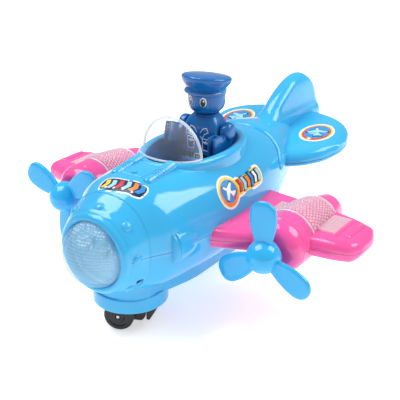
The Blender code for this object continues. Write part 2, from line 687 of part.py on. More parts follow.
def make_drive():
    pivot = (0, 0, 0)
    table = [(2.4, 18.4), (TURNTABLE_R, 18.4), (TURNTABLE_R, 21.4), (7.2, 21.4), (7.2, 25.2),
             (2.4, 25.2)]
    unit = solid("drive_turntable", *lathe(table, pivot, "z", 32, loop=True), "black")
    wall = block(-11, 10, 4.6, 6.6, 3.6, 18.8)
    for sign in (1, -1):
        plate = [(x, sign * y, z) for x, y, z in wall[0]]
        join(unit, tool(to_unit(plate), wall[1], "frame_tool"))
        hole = rod(1.3 + GAP, sign * 2, sign * 9, (TRAIL, 0, WHEEL_R), "y", 12)
        cut(unit, tool(to_unit(hole[0]), hole[1], "axle_hole"))
    side_profile = [(10.4, 4.4), (12.0, 4.4), (18.0, 14.6), (18.0, 18.0), (10.4, 18.0)]
    cover = prism([(z, x) for x, z in side_profile], -6.6, 6.6, "x")
    cover_verts = [(z2, x2, y2) for x2, y2, z2 in cover[0]]
    solid("gearbox_cover", to_unit(cover_verts), cover[1], "black")
    ring = tube(10.4, 7.2 + GAP, PAN_FLOOR + GAP, 25.4, steps=24)
    solid("swivel_retainer", *ring, "natural")
    axle_pivot = unit_point(0, TRAIL)
    centre = (axle_pivot[0], axle_pivot[1], WHEEL_R)
    axle = rod(1.2, -TRACK + 0.6, TRACK - 0.6, (TRAIL, 0, WHEEL_R), "y", 12)
    solid("drive_axle", to_unit(axle[0]), axle[1], "steel", centre)
    for side in (1, -1):
        near, far = TRACK - WHEEL_THICK, TRACK
        profile = [(1.2 + GAP, near), (WHEEL_R - 1.0, near), (WHEEL_R, near + 1.0),
                   (WHEEL_R, far - 1.2), (WHEEL_R - 1.2, far), (1.2 + GAP, far)]
        profile = [(r, side * y) for r, y in profile]
        wheel = lathe(profile, (TRAIL, 0, WHEEL_R), "y", 28, loop=True)
        solid(f"drive_wheel_{side_name(side)}", to_unit(wheel[0]), wheel[1], "black", centre)
    crown = gear(18, 5.4, 2.2, 3.8, centre=(TRAIL, 0, WHEEL_R), axis="y")
    crown_obj = solid("axle_gear", to_unit(crown[0]), crown[1], "natural", centre)
    bore = rod(1.2 + GAP, 0, 6, (TRAIL, 0, WHEEL_R), "y", 12)
    cut(crown_obj, tool(to_unit(bore[0]), bore[1], "gear_bore"))
    spur = solid("shaft_gear", *gear(30, 9.0, 28.0, 30.4), "natural")
    cut(spur, tool(*rod(1.0 + GAP, 20, 40, steps=12), "gear_bore"))
    shaft = [(0.0, 9.6), (1.8, 9.6), (1.8, 14.6), (1.0, 14.6), (1.0, 34.0), (0.0, 34.0)]
    solid("drive_shaft", *lathe(shaft, (0, 0, 0), "z", 12), "steel")
    pinion_y = 9.0 + 2.4 + 0.9
    solid("motor_pinion", *gear(8, 2.4, 28.0, 31.0, centre=(0, pinion_y, 0)), "white",
          (0, pinion_y, 0))
    solid("drive_motor", *rod(10.0, 33.0, 56.0, (0, pinion_y, 0), "z", 24), "steel")


def make_rear_wheels():
    centre = (0, REAR_AXLE_Y, WHEEL_R)
    solid("rear_axle", *rod(1.5, -REAR_X - 2, REAR_X + 2, centre, "x", 12), "steel", centre)
    for side in (1, -1):
        near, far = REAR_X - 3.0, REAR_X + 3.0
        profile = [(1.5 + GAP, near), (WHEEL_R - 1, near), (WHEEL_R, near + 1), (WHEEL_R, far - 1),
                   (WHEEL_R - 1, far), (1.5 + GAP, far)]
        profile = [(r, side * x) for r, x in profile]
        solid(f"rear_wheel_{side_name(side)}", *lathe(profile, centre, "x", 28, loop=True),
              "black", centre)


# ---------------------------------------------------------------- power, light and sound

def make_power():
    y0, y1 = CELL_FRONT_Y, CELL_FRONT_Y + CELL_LONG
    outline = rounded(-DOOR_HALF, DOOR_HALF, DOOR_FRONT_Y, DOOR_REAR_Y, 2.0, 2)
    door = solid("battery_door", *prism(outline, PAN_BOTTOM, PAN_FLOOR - 0.2))
    cut(door, tool(*rod(1.5, 10, 30, (0, DOOR_SCREW_Y, 0), "z", 10), "screw_hole"))
    tray = solid("battery_box", *block(-BOX_HALF, BOX_HALF, y0 - 2.4, y1 + 3.6, 24.4, 41.6),
                 "sky")
    cut(tray, tool(*block(-BOX_HALF + 1.2, BOX_HALF - 1.2, y0 - 1.0, y1 + 2.0, 10, 40.2),
                   "box_hollow"))
    for k in range(3):
        x = (k - 1) * 14.7
        low, high = y0 + 1.0, y0 + CELL_LONG - 0.6
        profile = [(0, low), (CELL_R, low), (CELL_R, high - 1.5), (2.7, high - 1.5), (2.7, high),
                   (0, high)]
        if k == 1:
            profile = [(r, low + high - y) for r, y in profile]
        solid(f"battery_cell_{k + 1}", *lathe(profile, (x, 0, 32.2), "y", 20), "cell")
    for label, y in (("front", y0 - 0.6), ("rear", y1 + 0.6)):
        solid(f"contact_{label}", *block(-20, 20, y, y + 0.4, 26, 38), "steel")
    shank = [(0.0, 21.0), (2.7, 21.0), (2.7, 21.9), (1.2, 21.9), (1.2, 31.0), (0.0, 31.0)]
    solid("battery_door_screw", *lathe(shank, (0, DOOR_SCREW_Y, 0), "z", 12), "steel")
    knob = solid("switch_knob", *block(SWITCH_X - 1.6, SWITCH_X + 1.6, SWITCH_Y - 2.8,
                                       SWITCH_Y - 0.2, 20.4, 27.0), "red")
    flange = block(SWITCH_X - 3.4, SWITCH_X + 3.4, SWITCH_Y - 4.0, SWITCH_Y + 1.0, 24.3, 25.3)
    join(knob, tool(*flange, "flange_tool"))
    solid("switch_body", *block(SWITCH_X - 4, SWITCH_X + 4, SWITCH_Y - 6.0, SWITCH_Y + 6.0, 27.6,
                                31.0), "black")
    solid("circuit_board", *block(-18, 18, 30, 58, 58.0, 59.4), "green")
    speaker = [(0, 100), (6, 100), (6, 104), (12.5, 108), (12.5, 109.5), (0, 109.5)]
    solid("speaker", *lathe(speaker, (0, 0, 46), "y", 24), "black")


def make_screws():
    """Self-tapping screws that hold the pod's halves and the belly pan together."""
    places = [(24.0, -2.0), (0.0, 132.0)]
    for k, (x, y) in enumerate(places):
        z = SEAM_Z - 7.0
        profile = [(0, z - 2.0), (2.8, z - 2.0), (2.8, z), (1.3, z), (1.3, z + 14), (0, z + 14)]
        solid(f"shell_screw_{k + 1}", *lathe(profile, (x, y, 0), "z", 10), "steel")


def main():
    clear_scene()
    make_fuselage()
    make_belly_pan()
    make_nose()
    make_cockpit()
    make_pilot()
    for side in (1, -1):
        make_wing(side)
        make_propeller(side)
    make_tail()
    make_drive()
    make_rear_wheels()
    make_power()
    make_screws()


main()
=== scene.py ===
"""Looks of the toy aeroplane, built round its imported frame.

Shapes are written in the part's design coordinates, in millimetres: the drive unit swivels
about the vertical line x = 0, y = 0, the nose points to -Y, the pilot's left wing to +X and
z = 0 is the floor. piece() moves them into the frame's own metres.
"""
import math

import bmesh
import bpy
import numpy as np
from mathutils import Matrix, Vector


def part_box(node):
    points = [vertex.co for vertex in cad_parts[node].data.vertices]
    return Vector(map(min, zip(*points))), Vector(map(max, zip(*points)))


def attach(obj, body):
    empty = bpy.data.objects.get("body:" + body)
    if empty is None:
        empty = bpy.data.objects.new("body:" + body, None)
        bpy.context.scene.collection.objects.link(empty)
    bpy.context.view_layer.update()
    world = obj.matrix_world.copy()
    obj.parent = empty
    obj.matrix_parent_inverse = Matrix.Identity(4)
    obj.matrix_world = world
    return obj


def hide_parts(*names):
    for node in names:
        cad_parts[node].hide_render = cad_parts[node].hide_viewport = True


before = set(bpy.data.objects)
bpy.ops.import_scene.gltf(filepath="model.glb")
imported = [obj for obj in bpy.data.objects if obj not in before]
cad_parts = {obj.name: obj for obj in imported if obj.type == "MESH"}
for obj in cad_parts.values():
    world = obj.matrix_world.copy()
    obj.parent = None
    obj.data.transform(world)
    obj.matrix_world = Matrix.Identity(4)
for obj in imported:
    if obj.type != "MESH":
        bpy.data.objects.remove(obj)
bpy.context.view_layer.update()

MM = 0.001
MID_Y = 85.5                    # design y of the frame's origin
SEAM_Z = 53.8
SIDES = (("left", 1), ("right", -1))
AXES = {"x": lambda a, u, v: (a, u, v), "y": lambda a, u, v: (u, a, v),
        "z": lambda a, u, v: (u, v, a)}


# ---------------------------------------------------------------- materials

def new_material(name):
    mat = bpy.data.materials.new(name)
    mat.use_nodes = True
    return mat, mat.node_tree, mat.node_tree.nodes["Principled BSDF"]


def add(tree, kind, **values):
    node = tree.nodes.new(kind)
    for key, value in values.items():
        if key in node.inputs:
            node.inputs[key].default_value = value
        else:
            setattr(node, key, value)
    return node


def noise(tree, scale, detail=2.0):
    coord = add(tree, "ShaderNodeTexCoord")
    tex = add(tree, "ShaderNodeTexNoise", Scale=scale, Detail=detail)
    tree.links.new(coord.outputs["Object"], tex.inputs["Vector"])
    return tex.outputs["Fac"]


def remap(tree, value, low, high, start=0.3, end=0.7):
    """Stretch a value from start..end, where most of a noise lies, to low..high."""
    node = add(tree, "ShaderNodeMapRange")
    for socket, number in zip(node.inputs[1:5], (start, end, low, high)):
        socket.default_value = number
    tree.links.new(value, node.inputs[0])
    return node.outputs[0]


def shade(colour, factor):
    return tuple(min(c * factor, 1.0) for c in colour) + (1.0,)


def mix_colour(tree, factor, low, high):
    node = add(tree, "ShaderNodeMix", data_type="RGBA")
    tree.links.new(factor, node.inputs[0])
    for socket, value in ((node.inputs[6], low), (node.inputs[7], high)):
        if isinstance(value, tuple):
            socket.default_value = value
        else:
            tree.links.new(value, socket)
    return node.outputs[2]


def bump(tree, shader, height, strength, distance):
    node = add(tree, "ShaderNodeBump", Strength=strength, Distance=distance)
    tree.links.new(height, node.inputs["Height"])
    tree.links.new(node.outputs["Normal"], shader.inputs["Normal"])


FLOW_MARKS = 0.05               # how far flow marks take a plastic's colour each way
GRAIN = 0.00003                 # depth of a moulded or drawn surface's grain, in metres


def plastic(name, colour, rough=(0.16, 0.26), wear=0.25, glow=0.0):
    """Moulded plastic: faint flow marks in its colour, uneven polish, rubbed pale edges."""
    mat, tree, shader = new_material(name)
    marks = noise(tree, 22.0, 3.0)
    body = mix_colour(tree, remap(tree, marks, 0, 1), shade(colour, 1 - FLOW_MARKS),
                      shade(colour, 1 + FLOW_MARKS))
    edge = add(tree, "ShaderNodeNewGeometry").outputs["Pointiness"]
    rubbed = remap(tree, edge, 0.0, wear, 0.53, 0.62)
    pale = tuple(c + (1 - c) * 0.35 for c in colour) + (1.0,)
    tree.links.new(mix_colour(tree, rubbed, body, pale), shader.inputs["Base Color"])
    tree.links.new(remap(tree, noise(tree, 60.0, 4.0), *rough), shader.inputs["Roughness"])
    bump(tree, shader, noise(tree, 900.0), 0.12, GRAIN)
    shader.inputs["IOR"].default_value = 1.5
    if glow:
        shader.inputs["Subsurface Weight"].default_value = glow
        shader.inputs["Subsurface Radius"].default_value = (0.004, 0.004, 0.004)
        shader.inputs["Subsurface Scale"].default_value = 0.5
    return mat


def clear(name, tint, alpha, rough=(0.03, 0.08)):
    """Clear moulded plastic: see-through by its alpha, with slight haze and ripple."""
    mat, tree, shader = new_material(name)
    tree.links.new(mix_colour(tree, remap(tree, noise(tree, 40.0), 0, 1), shade(tint, 0.94),
                              shade(tint, 1.0)), shader.inputs["Base Color"])
    tree.links.new(remap(tree, noise(tree, 150.0), *rough), shader.inputs["Roughness"])
    tree.links.new(remap(tree, noise(tree, 30.0), alpha - 0.02, alpha + 0.02),
                   shader.inputs["Alpha"])
    shader.inputs["IOR"].default_value = 1.6
    shader.inputs["Specular IOR Level"].default_value = 0.9
    bump(tree, shader, noise(tree, 120.0), 0.05, 0.0001)
    return mat


def metal(name, colour, rough=(0.22, 0.4)):
    """Drawn or rolled metal with a fine uneven polish."""
    mat, tree, shader = new_material(name)
    tree.links.new(mix_colour(tree, remap(tree, noise(tree, 300.0, 5.0), 0, 1),
                              shade(colour, 0.85), shade(colour, 1.05)),
                   shader.inputs["Base Color"])
    tree.links.new(remap(tree, noise(tree, 500.0, 4.0), *rough), shader.inputs["Roughness"])
    shader.inputs["Metallic"].default_value = 1.0
    bump(tree, shader, noise(tree, 1500.0), 0.1, GRAIN)
    return mat


def print_ink(name, colour):
    """Printed vinyl: satin, with a faint dot grain and ink that isn't quite even."""
    mat, tree, shader = new_material(name)
    tree.links.new(mix_colour(tree, remap(tree, noise(tree, 160.0, 4.0), 0, 1),
                              shade(colour, 0.9), shade(colour, 1.06)),
                   shader.inputs["Base Color"])
    tree.links.new(remap(tree, noise(tree, 90.0), 0.22, 0.34), shader.inputs["Roughness"])
    bump(tree, shader, noise(tree, 2400.0), 0.08, 0.00002)
    return mat


SKY = plastic("sky_plastic_gloss", (0.042, 0.42, 0.76), rough=(0.07, 0.13))
SKY_BRIGHT = plastic("propeller_plastic_gloss", (0.030, 0.42, 0.80), rough=(0.08, 0.14))
PINK = plastic("pink_plastic_gloss", (0.90, 0.10, 0.36), rough=(0.08, 0.14))
NAVY = plastic("figure_plastic_gloss", (0.004, 0.135, 0.42), rough=(0.16, 0.26))
NAVY_DEEP = plastic("cockpit_plastic", (0.004, 0.12, 0.36), rough=(0.3, 0.45))
BLACK = plastic("black_plastic_satin", (0.006, 0.006, 0.008), rough=(0.2, 0.32), wear=0.0)
TYRE = plastic("black_wheel_gloss", (0.004, 0.004, 0.006), rough=(0.1, 0.18), wear=0.0)
NATURAL = plastic("natural_nylon", (0.80, 0.78, 0.70), rough=(0.4, 0.55))
RED = plastic("red_plastic_gloss", (0.62, 0.02, 0.03))
CLEAR = clear("clear_plastic", (0.80, 0.90, 0.97), 0.07)
CLEAR_RIM = clear("clear_rim_plastic", (0.82, 0.90, 0.96), 0.6, (0.1, 0.25))
LENS = clear("nose_lens_plastic", (0.26, 0.62, 0.88), 0.36)
WING_LENS = clear("wing_lens_plastic", (0.95, 0.80, 0.88), 0.24)
RIDGE = clear("wing_lens_ridges", (0.96, 0.93, 0.95), 0.72, (0.1, 0.2))
FROST = plastic("frosted_reflector", (0.62, 0.80, 0.90), rough=(0.2, 0.32))
LAMP = plastic("lamp_milk_white", (0.9, 0.9, 0.88), rough=(0.1, 0.2), glow=0.3)
STEEL = metal("bright_steel", (0.56, 0.56, 0.58))
CELL = plastic("battery_sleeve", (0.06, 0.10, 0.16), rough=(0.25, 0.4))
BOARD = plastic("circuit_board_lacquer", (0.02, 0.22, 0.09), rough=(0.3, 0.5))
WHITE_INK = print_ink("ink_white", (0.90, 0.90, 0.88))
YELLOW_INK = print_ink("ink_yellow", (0.95, 0.62, 0.04))
ORANGE_INK = print_ink("ink_orange", (0.88, 0.24, 0.04))
RED_INK = print_ink("ink_red", (0.72, 0.04, 0.05))
BLUE_INK = print_ink("ink_blue", (0.03, 0.28, 0.66))
PALE_INK = print_ink("ink_pale_blue", (0.34, 0.68, 0.88))
DARK_INK = print_ink("ink_navy", (0.012, 0.025, 0.10))
BLACK_INK = print_ink("ink_black", (0.01, 0.01, 0.012))


# ---------------------------------------------------------------- mesh code

def piece(name, shape, mat, body="root", stands_for=(), sharp=36.0):
    """One object from design coordinates that rides on a body, smooth but for sharp edges."""
    verts, faces = shape
    points = (np.array(verts, float) - (0, MID_Y, 0)) * MM
    mesh = bpy.data.meshes.new(name)
    mesh.from_pydata(points.tolist(), [], [tuple(f) for f in faces])
    tidy(mesh, sharp)
    mesh.materials.append(mat)
    obj = bpy.data.objects.new(name, mesh)
    bpy.context.scene.collection.objects.link(obj)
    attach(obj, body)
    if stands_for:
        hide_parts(*stands_for)
    return obj


def tidy(mesh, sharp):
    """Join doubled points, face the normals outward and keep only real edges sharp."""
    work = bmesh.new()
    work.from_mesh(mesh)
    bmesh.ops.remove_doubles(work, verts=work.verts, dist=2e-6)
    bmesh.ops.dissolve_degenerate(work, edges=work.edges, dist=1e-6)
    bmesh.ops.recalc_face_normals(work, faces=work.faces)
    work.to_mesh(mesh)
    work.free()
    mesh.shade_smooth()
    mesh.set_sharp_from_angle(angle=math.radians(sharp))


def cut(obj, *shapes, sharp=36.0):
    """Take shapes out of an object's mesh for good."""
    cutters = []
    for shape in shapes:
        mesh = bpy.data.meshes.new("cutter")
        points = (np.array(shape[0], float) - (0, MID_Y, 0)) * MM
        mesh.from_pydata(points.tolist(), [], [tuple(f) for f in shape[1]])
        tidy(mesh, sharp)
        cutter = bpy.data.objects.new("cutter", mesh)
        bpy.context.scene.collection.objects.link(cutter)
        mod = obj.modifiers.new("cut", "BOOLEAN")
        mod.object, mod.operation, mod.solver = cutter, "DIFFERENCE", "EXACT"
        cutters.append(cutter)
    graph = bpy.context.evaluated_depsgraph_get()
    result = bpy.data.meshes.new_from_object(obj.evaluated_get(graph))
    obj.modifiers.clear()
    obj.data = result
    for cutter in cutters:
        bpy.data.objects.remove(cutter, do_unlink=True)
    result.shade_smooth()
    result.set_sharp_from_angle(angle=math.radians(sharp))
    return obj


def merge(*shapes):
    """Several (points, faces) shapes as one."""
    verts, faces = [], []
    for points, polygons in shapes:
        base = len(verts)
        verts += [tuple(p) for p in points]
        faces += [tuple(base + i for i in f) for f in polygons]
    return verts, faces


def rings(loops, caps=True, wrap=False):
    """Skin a list of equal closed loops."""
    count = len(loops[0])
    verts = [tuple(v) for loop in loops for v in loop]
    faces = []
    for r in range(len(loops) if wrap else len(loops) - 1):
        here, there = r * count, (r + 1) % len(loops) * count
        for i in range(count):
            j = (i + 1) % count
            faces.append((here + i, here + j, there + j, there + i))
    if caps and not wrap:
        faces.append(tuple(range(count)))
        faces.append(tuple(range((len(loops) - 1) * count, len(loops) * count)))
    return verts, faces


def soften(points, radius, steps=4, closed=False):
    """Replace each corner of a line by a short curve that starts radius away from it."""
    out = []
    count = len(points)
    for k, p in enumerate(points):
        if not closed and k in (0, count - 1):
            out.append(tuple(p))
            continue
        p = np.array(p, float)
        before, after = np.array(points[k - 1], float), np.array(points[(k + 1) % count], float)
        reach = [min(radius, 0.45 * np.linalg.norm(q - p)) for q in (before, after)]
        a = p + (before - p) / max(np.linalg.norm(before - p), 1e-9) * reach[0]
        b = p + (after - p) / max(np.linalg.norm(after - p), 1e-9) * reach[1]
        for t in np.linspace(0, 1, steps + 1):
            out.append(tuple((1 - t) ** 2 * a + 2 * t * (1 - t) * p + t * t * b))
    return out


def lathe(profile, centre=(0, 0, 0), axis="z", steps=64, wrap=False):
    """Turn (radius, distance) pairs round an axis through centre."""
    loops = []
    for radius, along in profile:
        radius = max(radius, 0.0005)
        loops.append([tuple(np.array(centre) + AXES[axis](along, radius * math.cos(a),
                      radius * math.sin(a))) for a in np.arange(steps) * 2 * math.pi / steps])
    return rings(loops, wrap=wrap)


def inset(outline, by):
    """Move a closed plan outline inward by a small distance."""
    pts = np.array(outline, float)
    ahead, behind = np.roll(pts, -1, 0) - pts, pts - np.roll(pts, 1, 0)
    for e in (ahead, behind):
        e /= np.maximum(np.linalg.norm(e, axis=1, keepdims=True), 1e-9)
    normal = np.stack([-(ahead + behind)[:, 1], (ahead + behind)[:, 0]], 1)
    normal /= np.maximum(np.linalg.norm(normal, axis=1, keepdims=True), 1e-9)
    area = np.sum(pts[:, 0] * np.roll(pts[:, 1], -1) - np.roll(pts[:, 0], -1) * pts[:, 1])
    return pts + normal * by * math.copysign(1.0, area)


def pillow(outline, low, high, radius, axis="z", steps=4, ends=(True, True)):
    """A slab with rounded rims: outline in the plane, low to high along the axis."""
    levels = []
    for k in range(steps + 1):
        a = math.pi / 2 * k / steps
        levels.append((radius * (1 - math.sin(a)), low + radius * (1 - math.cos(a))))
    if not ends[0]:
        levels = [(0.0, low)]
    top = []
    for k in range(steps + 1):
        a = math.pi / 2 * k / steps
        top.append((radius * (1 - math.cos(a)), high - radius * (1 - math.sin(a))))
    levels += top if ends[1] else [(0.0, high)]
    return rings([[AXES[axis](along, u, v) for u, v in inset(outline, by)]
                  for by, along in levels])


def oblong(x0, x1, y0, y1, radius, steps=6):
    """A rectangle with round corners, anticlockwise."""
    points = []
    for cx, cy, start in ((x1 - radius, y1 - radius, 0), (x0 + radius, y1 - radius, 90),
                          (x0 + radius, y0 + radius, 180), (x1 - radius, y0 + radius, 270)):
        for k in range(steps + 1):
            a = math.radians(start + 90 * k / steps)
            points.append((cx + radius * math.cos(a), cy + radius * math.sin(a)))
    return points


def box(x0, x1, y0, y1, z0, z1):
    return rings([[(x0, y0, z), (x1, y0, z), (x1, y1, z), (x0, y1, z)] for z in (z0, z1)])


def mirrored(shape, side):
    return [(side * x, y, z) for x, y, z in shape[0]], shape[1]


def turned(shape, degrees, pivot, axis):
    turn = np.array(Matrix.Rotation(math.radians(degrees), 3, axis))
    return (np.array(shape[0], float) - pivot) @ turn.T + pivot, shape[1]


def curve(points, column):
    """A smooth function of the first column through one column of a design table."""
    xs = np.array([p[0] for p in points], float)
    ys = np.array([p[column] for p in points], float)
    slope = np.gradient(ys, xs)

    def value(x):
        x = float(np.clip(x, xs[0], xs[-1]))
        i = int(np.clip(np.searchsorted(xs, x) - 1, 0, len(xs) - 2))
        h = xs[i + 1] - xs[i]
        t = (x - xs[i]) / h
        return ((2 * t**3 - 3 * t**2 + 1) * ys[i] + (t**3 - 2 * t**2 + t) * h * slope[i]
                + (3 * t**2 - 2 * t**3) * ys[i + 1] + (t**3 - t**2) * h * slope[i + 1])
    return value


def superellipse(angle, wide, high, power):
    c, s = math.cos(angle), math.sin(angle)
    return (wide * math.copysign(abs(c) ** (2 / power), c),
            high * math.copysign(abs(s) ** (2 / power), s))


def slab(angle, half, thick, nose, power):
    """A section with flat faces and thick rounded edges, as (along, up)."""
    nose = min(nose, 0.98 * half)
    along, up = superellipse(angle, nose, thick, power)
    return along + math.copysign(half - nose, math.cos(angle)), up


def step(x, low, high):
    t = min(max((x - low) / (high - low), 0.0), 1.0)
    return t * t * (3 - 2 * t)


def sweep(path, section, up=(0, 0, 1)):
    """Carry a closed section, as (sideways, upward) pairs, along a path of points."""
    path = np.array(path, float)
    count = len(path)
    loops = []
    for k in range(count):
        a, b = path[max(k - 1, 0)], path[min(k + 1, count - 1)]
        ahead = (b - a) / np.linalg.norm(b - a)
        across = np.cross(ahead, up)
        across /= np.linalg.norm(across)
        rise = np.cross(across, ahead)
        loops.append([path[k] + across * u + rise * v for u, v in section])
    return rings(loops)


def circle(radius, steps):
    return [(radius * math.cos(a), radius * math.sin(a))
            for a in np.arange(steps) * 2 * math.pi / steps]


def facet_sheet(place, cells, pitch, peak, thick, clamp=None):
    """A clear sheet whose outer face is a grid of low pyramids.

    place(u, v, lift) gives a point of the sheet; cells are whole-number pairs.
    """
    index, verts, faces = {}, [], []

    def corner(i, j, lift, layer):
        key = (i, j, layer)
        if key not in index:
            u, v = i * pitch, j * pitch
            if clamp:
                u, v = clamp(u, v)
            index[key] = len(verts)
            verts.append(place(u, v, lift))
        return index[key]

    edges = {}
    for i, j in cells:
        around = [(i, j), (i + 1, j), (i + 1, j + 1), (i, j + 1)]
        for layer, lift, tip in ((0, 0.0, peak), (1, -thick, -thick)):
            ring = [corner(a, b, lift, layer) for a, b in around]
            middle = corner(i + 0.5, j + 0.5, tip, layer)
            for k in range(4):
                tri = (ring[k], ring[(k + 1) % 4], middle)
                faces.append(tri if layer == 0 else tri[::-1])
        for k in range(4):
            a, b = around[k], around[(k + 1) % 4]
            if (b, a) in edges:
                del edges[(b, a)]
            else:
                edges[(a, b)] = True
    for a, b in edges:
        faces.append((index[(*b, 0)], index[(*a, 0)], index[(*a, 1)], index[(*b, 1)]))
    return verts, faces


# ---------------------------------------------------------------- fuselage

# rows: y, half width, height above the seam, depth below it
POD = [
    (-30.0, 20.4, 20.4, 20.4),
    (-27.0, 23.2, 23.4, 23.0),
    (-22.0, 25.0, 25.6, 24.8),
    (-15.0, 27.0, 29.4, 26.6),
    (-5.0, 32.4, 33.2, 29.0),
    (6.0, 34.8, 34.4, 30.6),
    (20.0, 36.6, 34.8, 31.2),
    (45.0, 38.5, 34.8, 31.4),
    (80.0, 37.4, 34.6, 30.6),
    (105.0, 33.2, 33.4, 28.0),
    (125.0, 27.6, 30.6, 22.4),
    (145.0, 20.6, 26.6, 15.0),
    (160.0, 15.0, 22.4, 10.0),
    (170.0, 9.6, 18.0, 6.6),
]
POD_POWER = 2.25
WALL = 1.8
RING_Y = -15.0                  # panel line round the nose
pod_width, pod_top, pod_depth = (curve(POD, column) for column in (1, 2, 3))


def pod_point(y, angle, lift=0.0, scale=1.0, beyond=0.0):
    """A point of the pod's skin; angle 0 is the left seam, 90 degrees the crown."""
    high = (pod_top(y) if math.sin(angle) >= 0 else pod_depth(y)) + lift
    x, z = superellipse(angle, pod_width(y) + lift, high, POD_POWER)
    return np.array((x * scale, y + beyond, SEAM_Z + z * scale))


def pod_frame(y, angle):
    """Point, outward normal, direction round the pod and direction to the rear."""
    p = pod_point(y, angle)
    rear = pod_point(y + 0.5, angle) - pod_point(y - 0.5, angle)
    round_ = pod_point(y, angle + 0.01) - pod_point(y, angle - 0.01)
    rear, round_ = rear / np.linalg.norm(rear), round_ / np.linalg.norm(round_)
    normal = np.cross(round_, rear)
    normal /= np.linalg.norm(normal)
    if normal @ (p - (0, y, SEAM_Z)) < 0:
        normal = -normal
    return p, normal, round_, rear


def top_point(x, y, lift):
    """A point above the crown of the pod at plan position x, y, lifted along its normal."""
    angle = math.acos(math.copysign(min(abs(x) / pod_width(y), 1.0) ** (POD_POWER / 2), x))
    p, normal = pod_frame(y, angle)[:2]
    return p + normal * lift


def pod_half(sign):
    """The upper (1) or lower (-1) shell with its wall, panel line and closed rear end."""
    stations = np.concatenate([np.arange(-30, -15.4, 0.8), (-15.3, -15.1, -14.8, -14.5),
                               np.arange(-13.6, 169.9, 2.2), (170.0,)])
    loops = []
    for y in stations:
        lift = -0.45 * (1 - step(y, RING_Y - 0.25, RING_Y + 0.25))
        angles = np.linspace(0, sign * math.pi, 57)
        outer = [pod_point(y, a, lift) for a in angles]
        inner = [pod_point(y, a, -WALL) for a in angles[::-1]]
        loops.append(outer + inner)
    for beyond, scale in ((1.3, 0.955), (2.4, 0.84), (3.5, 0.66), (4.3, 0.44), (4.7, 0.22),
                          (4.8, 0.02)):
        angles = np.linspace(0, sign * math.pi, 57)
        outer = [pod_point(170.0, a, 0.0, scale, beyond) for a in angles]
        inner = [pod_point(170.0, a, -WALL, scale, beyond - WALL) for a in angles[::-1]]
        loops.append(outer + inner)
    gap = 0.13
    return rings([[(x, y, z + sign * gap) for x, y, z in loop] for loop in loops])


def cockpit_ring(grow, z, steps=96):
    """The cockpit opening's oval at height z, grown by a distance."""
    return [((21.7 + grow) * math.cos(a), 62.0 + (37.0 + grow) * math.sin(a), z)
            for a in np.arange(steps) * 2 * math.pi / steps]


def rivet(y, angle, radius=2.8, height=1.5):
    """A domed rivet head, its foot sunk 0.45 mm in the skin."""
    p, normal, across, rear = pod_frame(y, angle)
    loops = []
    for t in np.linspace(0, math.pi / 2, 7):
        r, h = radius * math.cos(t), height * math.sin(t) - 0.45
        loops.append([p + normal * h + (across * math.cos(a) + rear * math.sin(a)) * max(r, 0.001)
                      for a in np.arange(24) * math.pi / 12])
    return rings(loops)


def ridge(start, end, profile, steps=20):
    """A turned bar between two points; profile gives (share of the length, radius)."""
    start, end = np.array(start, float), np.array(end, float)
    ahead = (end - start) / np.linalg.norm(end - start)
    across = np.cross(ahead, (0, 0, 1))
    across /= np.linalg.norm(across)
    rise = np.cross(across, ahead)
    loops = []
    for along, radius in profile:
        mid = start + (end - start) * along
        loops.append([mid + (across * math.cos(a) + rise * math.sin(a)) * radius
                      for a in np.arange(steps) * 2 * math.pi / steps])
    return rings(loops)


def hinge_bar(side):
    """The grooved bar that runs back from the deck to the windscreen's foot."""
    profile = [(t, 3.0 * math.sqrt(max(1 - (1 - t / 0.13) ** 2, 0.0)) + 0.01)
               for t in np.linspace(0.0, 0.13, 7)]
    for groove in (0.36, 0.44, 0.52, 0.60):
        profile += [(groove - 0.018, 3.0), (groove - 0.008, 2.7), (groove + 0.008, 2.7),
                    (groove + 0.018, 3.0)]
    profile += [(0.68, 3.0), (0.70, 3.25), (1.12, 3.25)]
    return ridge((side * 11.0, 1.2, 85.4), (side * 10.8, 23.2, 88.0), profile, 28)


def scoop(side):
    """The air scoop on the seam: a round-nosed bulge with a grooved lip at its front."""
    profile = [(0.0, -4.0), (9.5, -4.0), (10.5, -3.5), (10.7, -2.8), (10.55, -2.2),
               (10.0, -1.9), (10.0, -1.3), (10.75, -1.0), (10.95, -0.2), (10.95, 6.0),
               (10.85, 10.0), (10.5, 13.0), (9.7, 15.6), (8.4, 17.6), (6.0, 19.0), (0.0, 19.4)]
    return mirrored(lathe(soften(profile, 0.5, 3), (26.4, 0, 54.6), "y", 72), side)


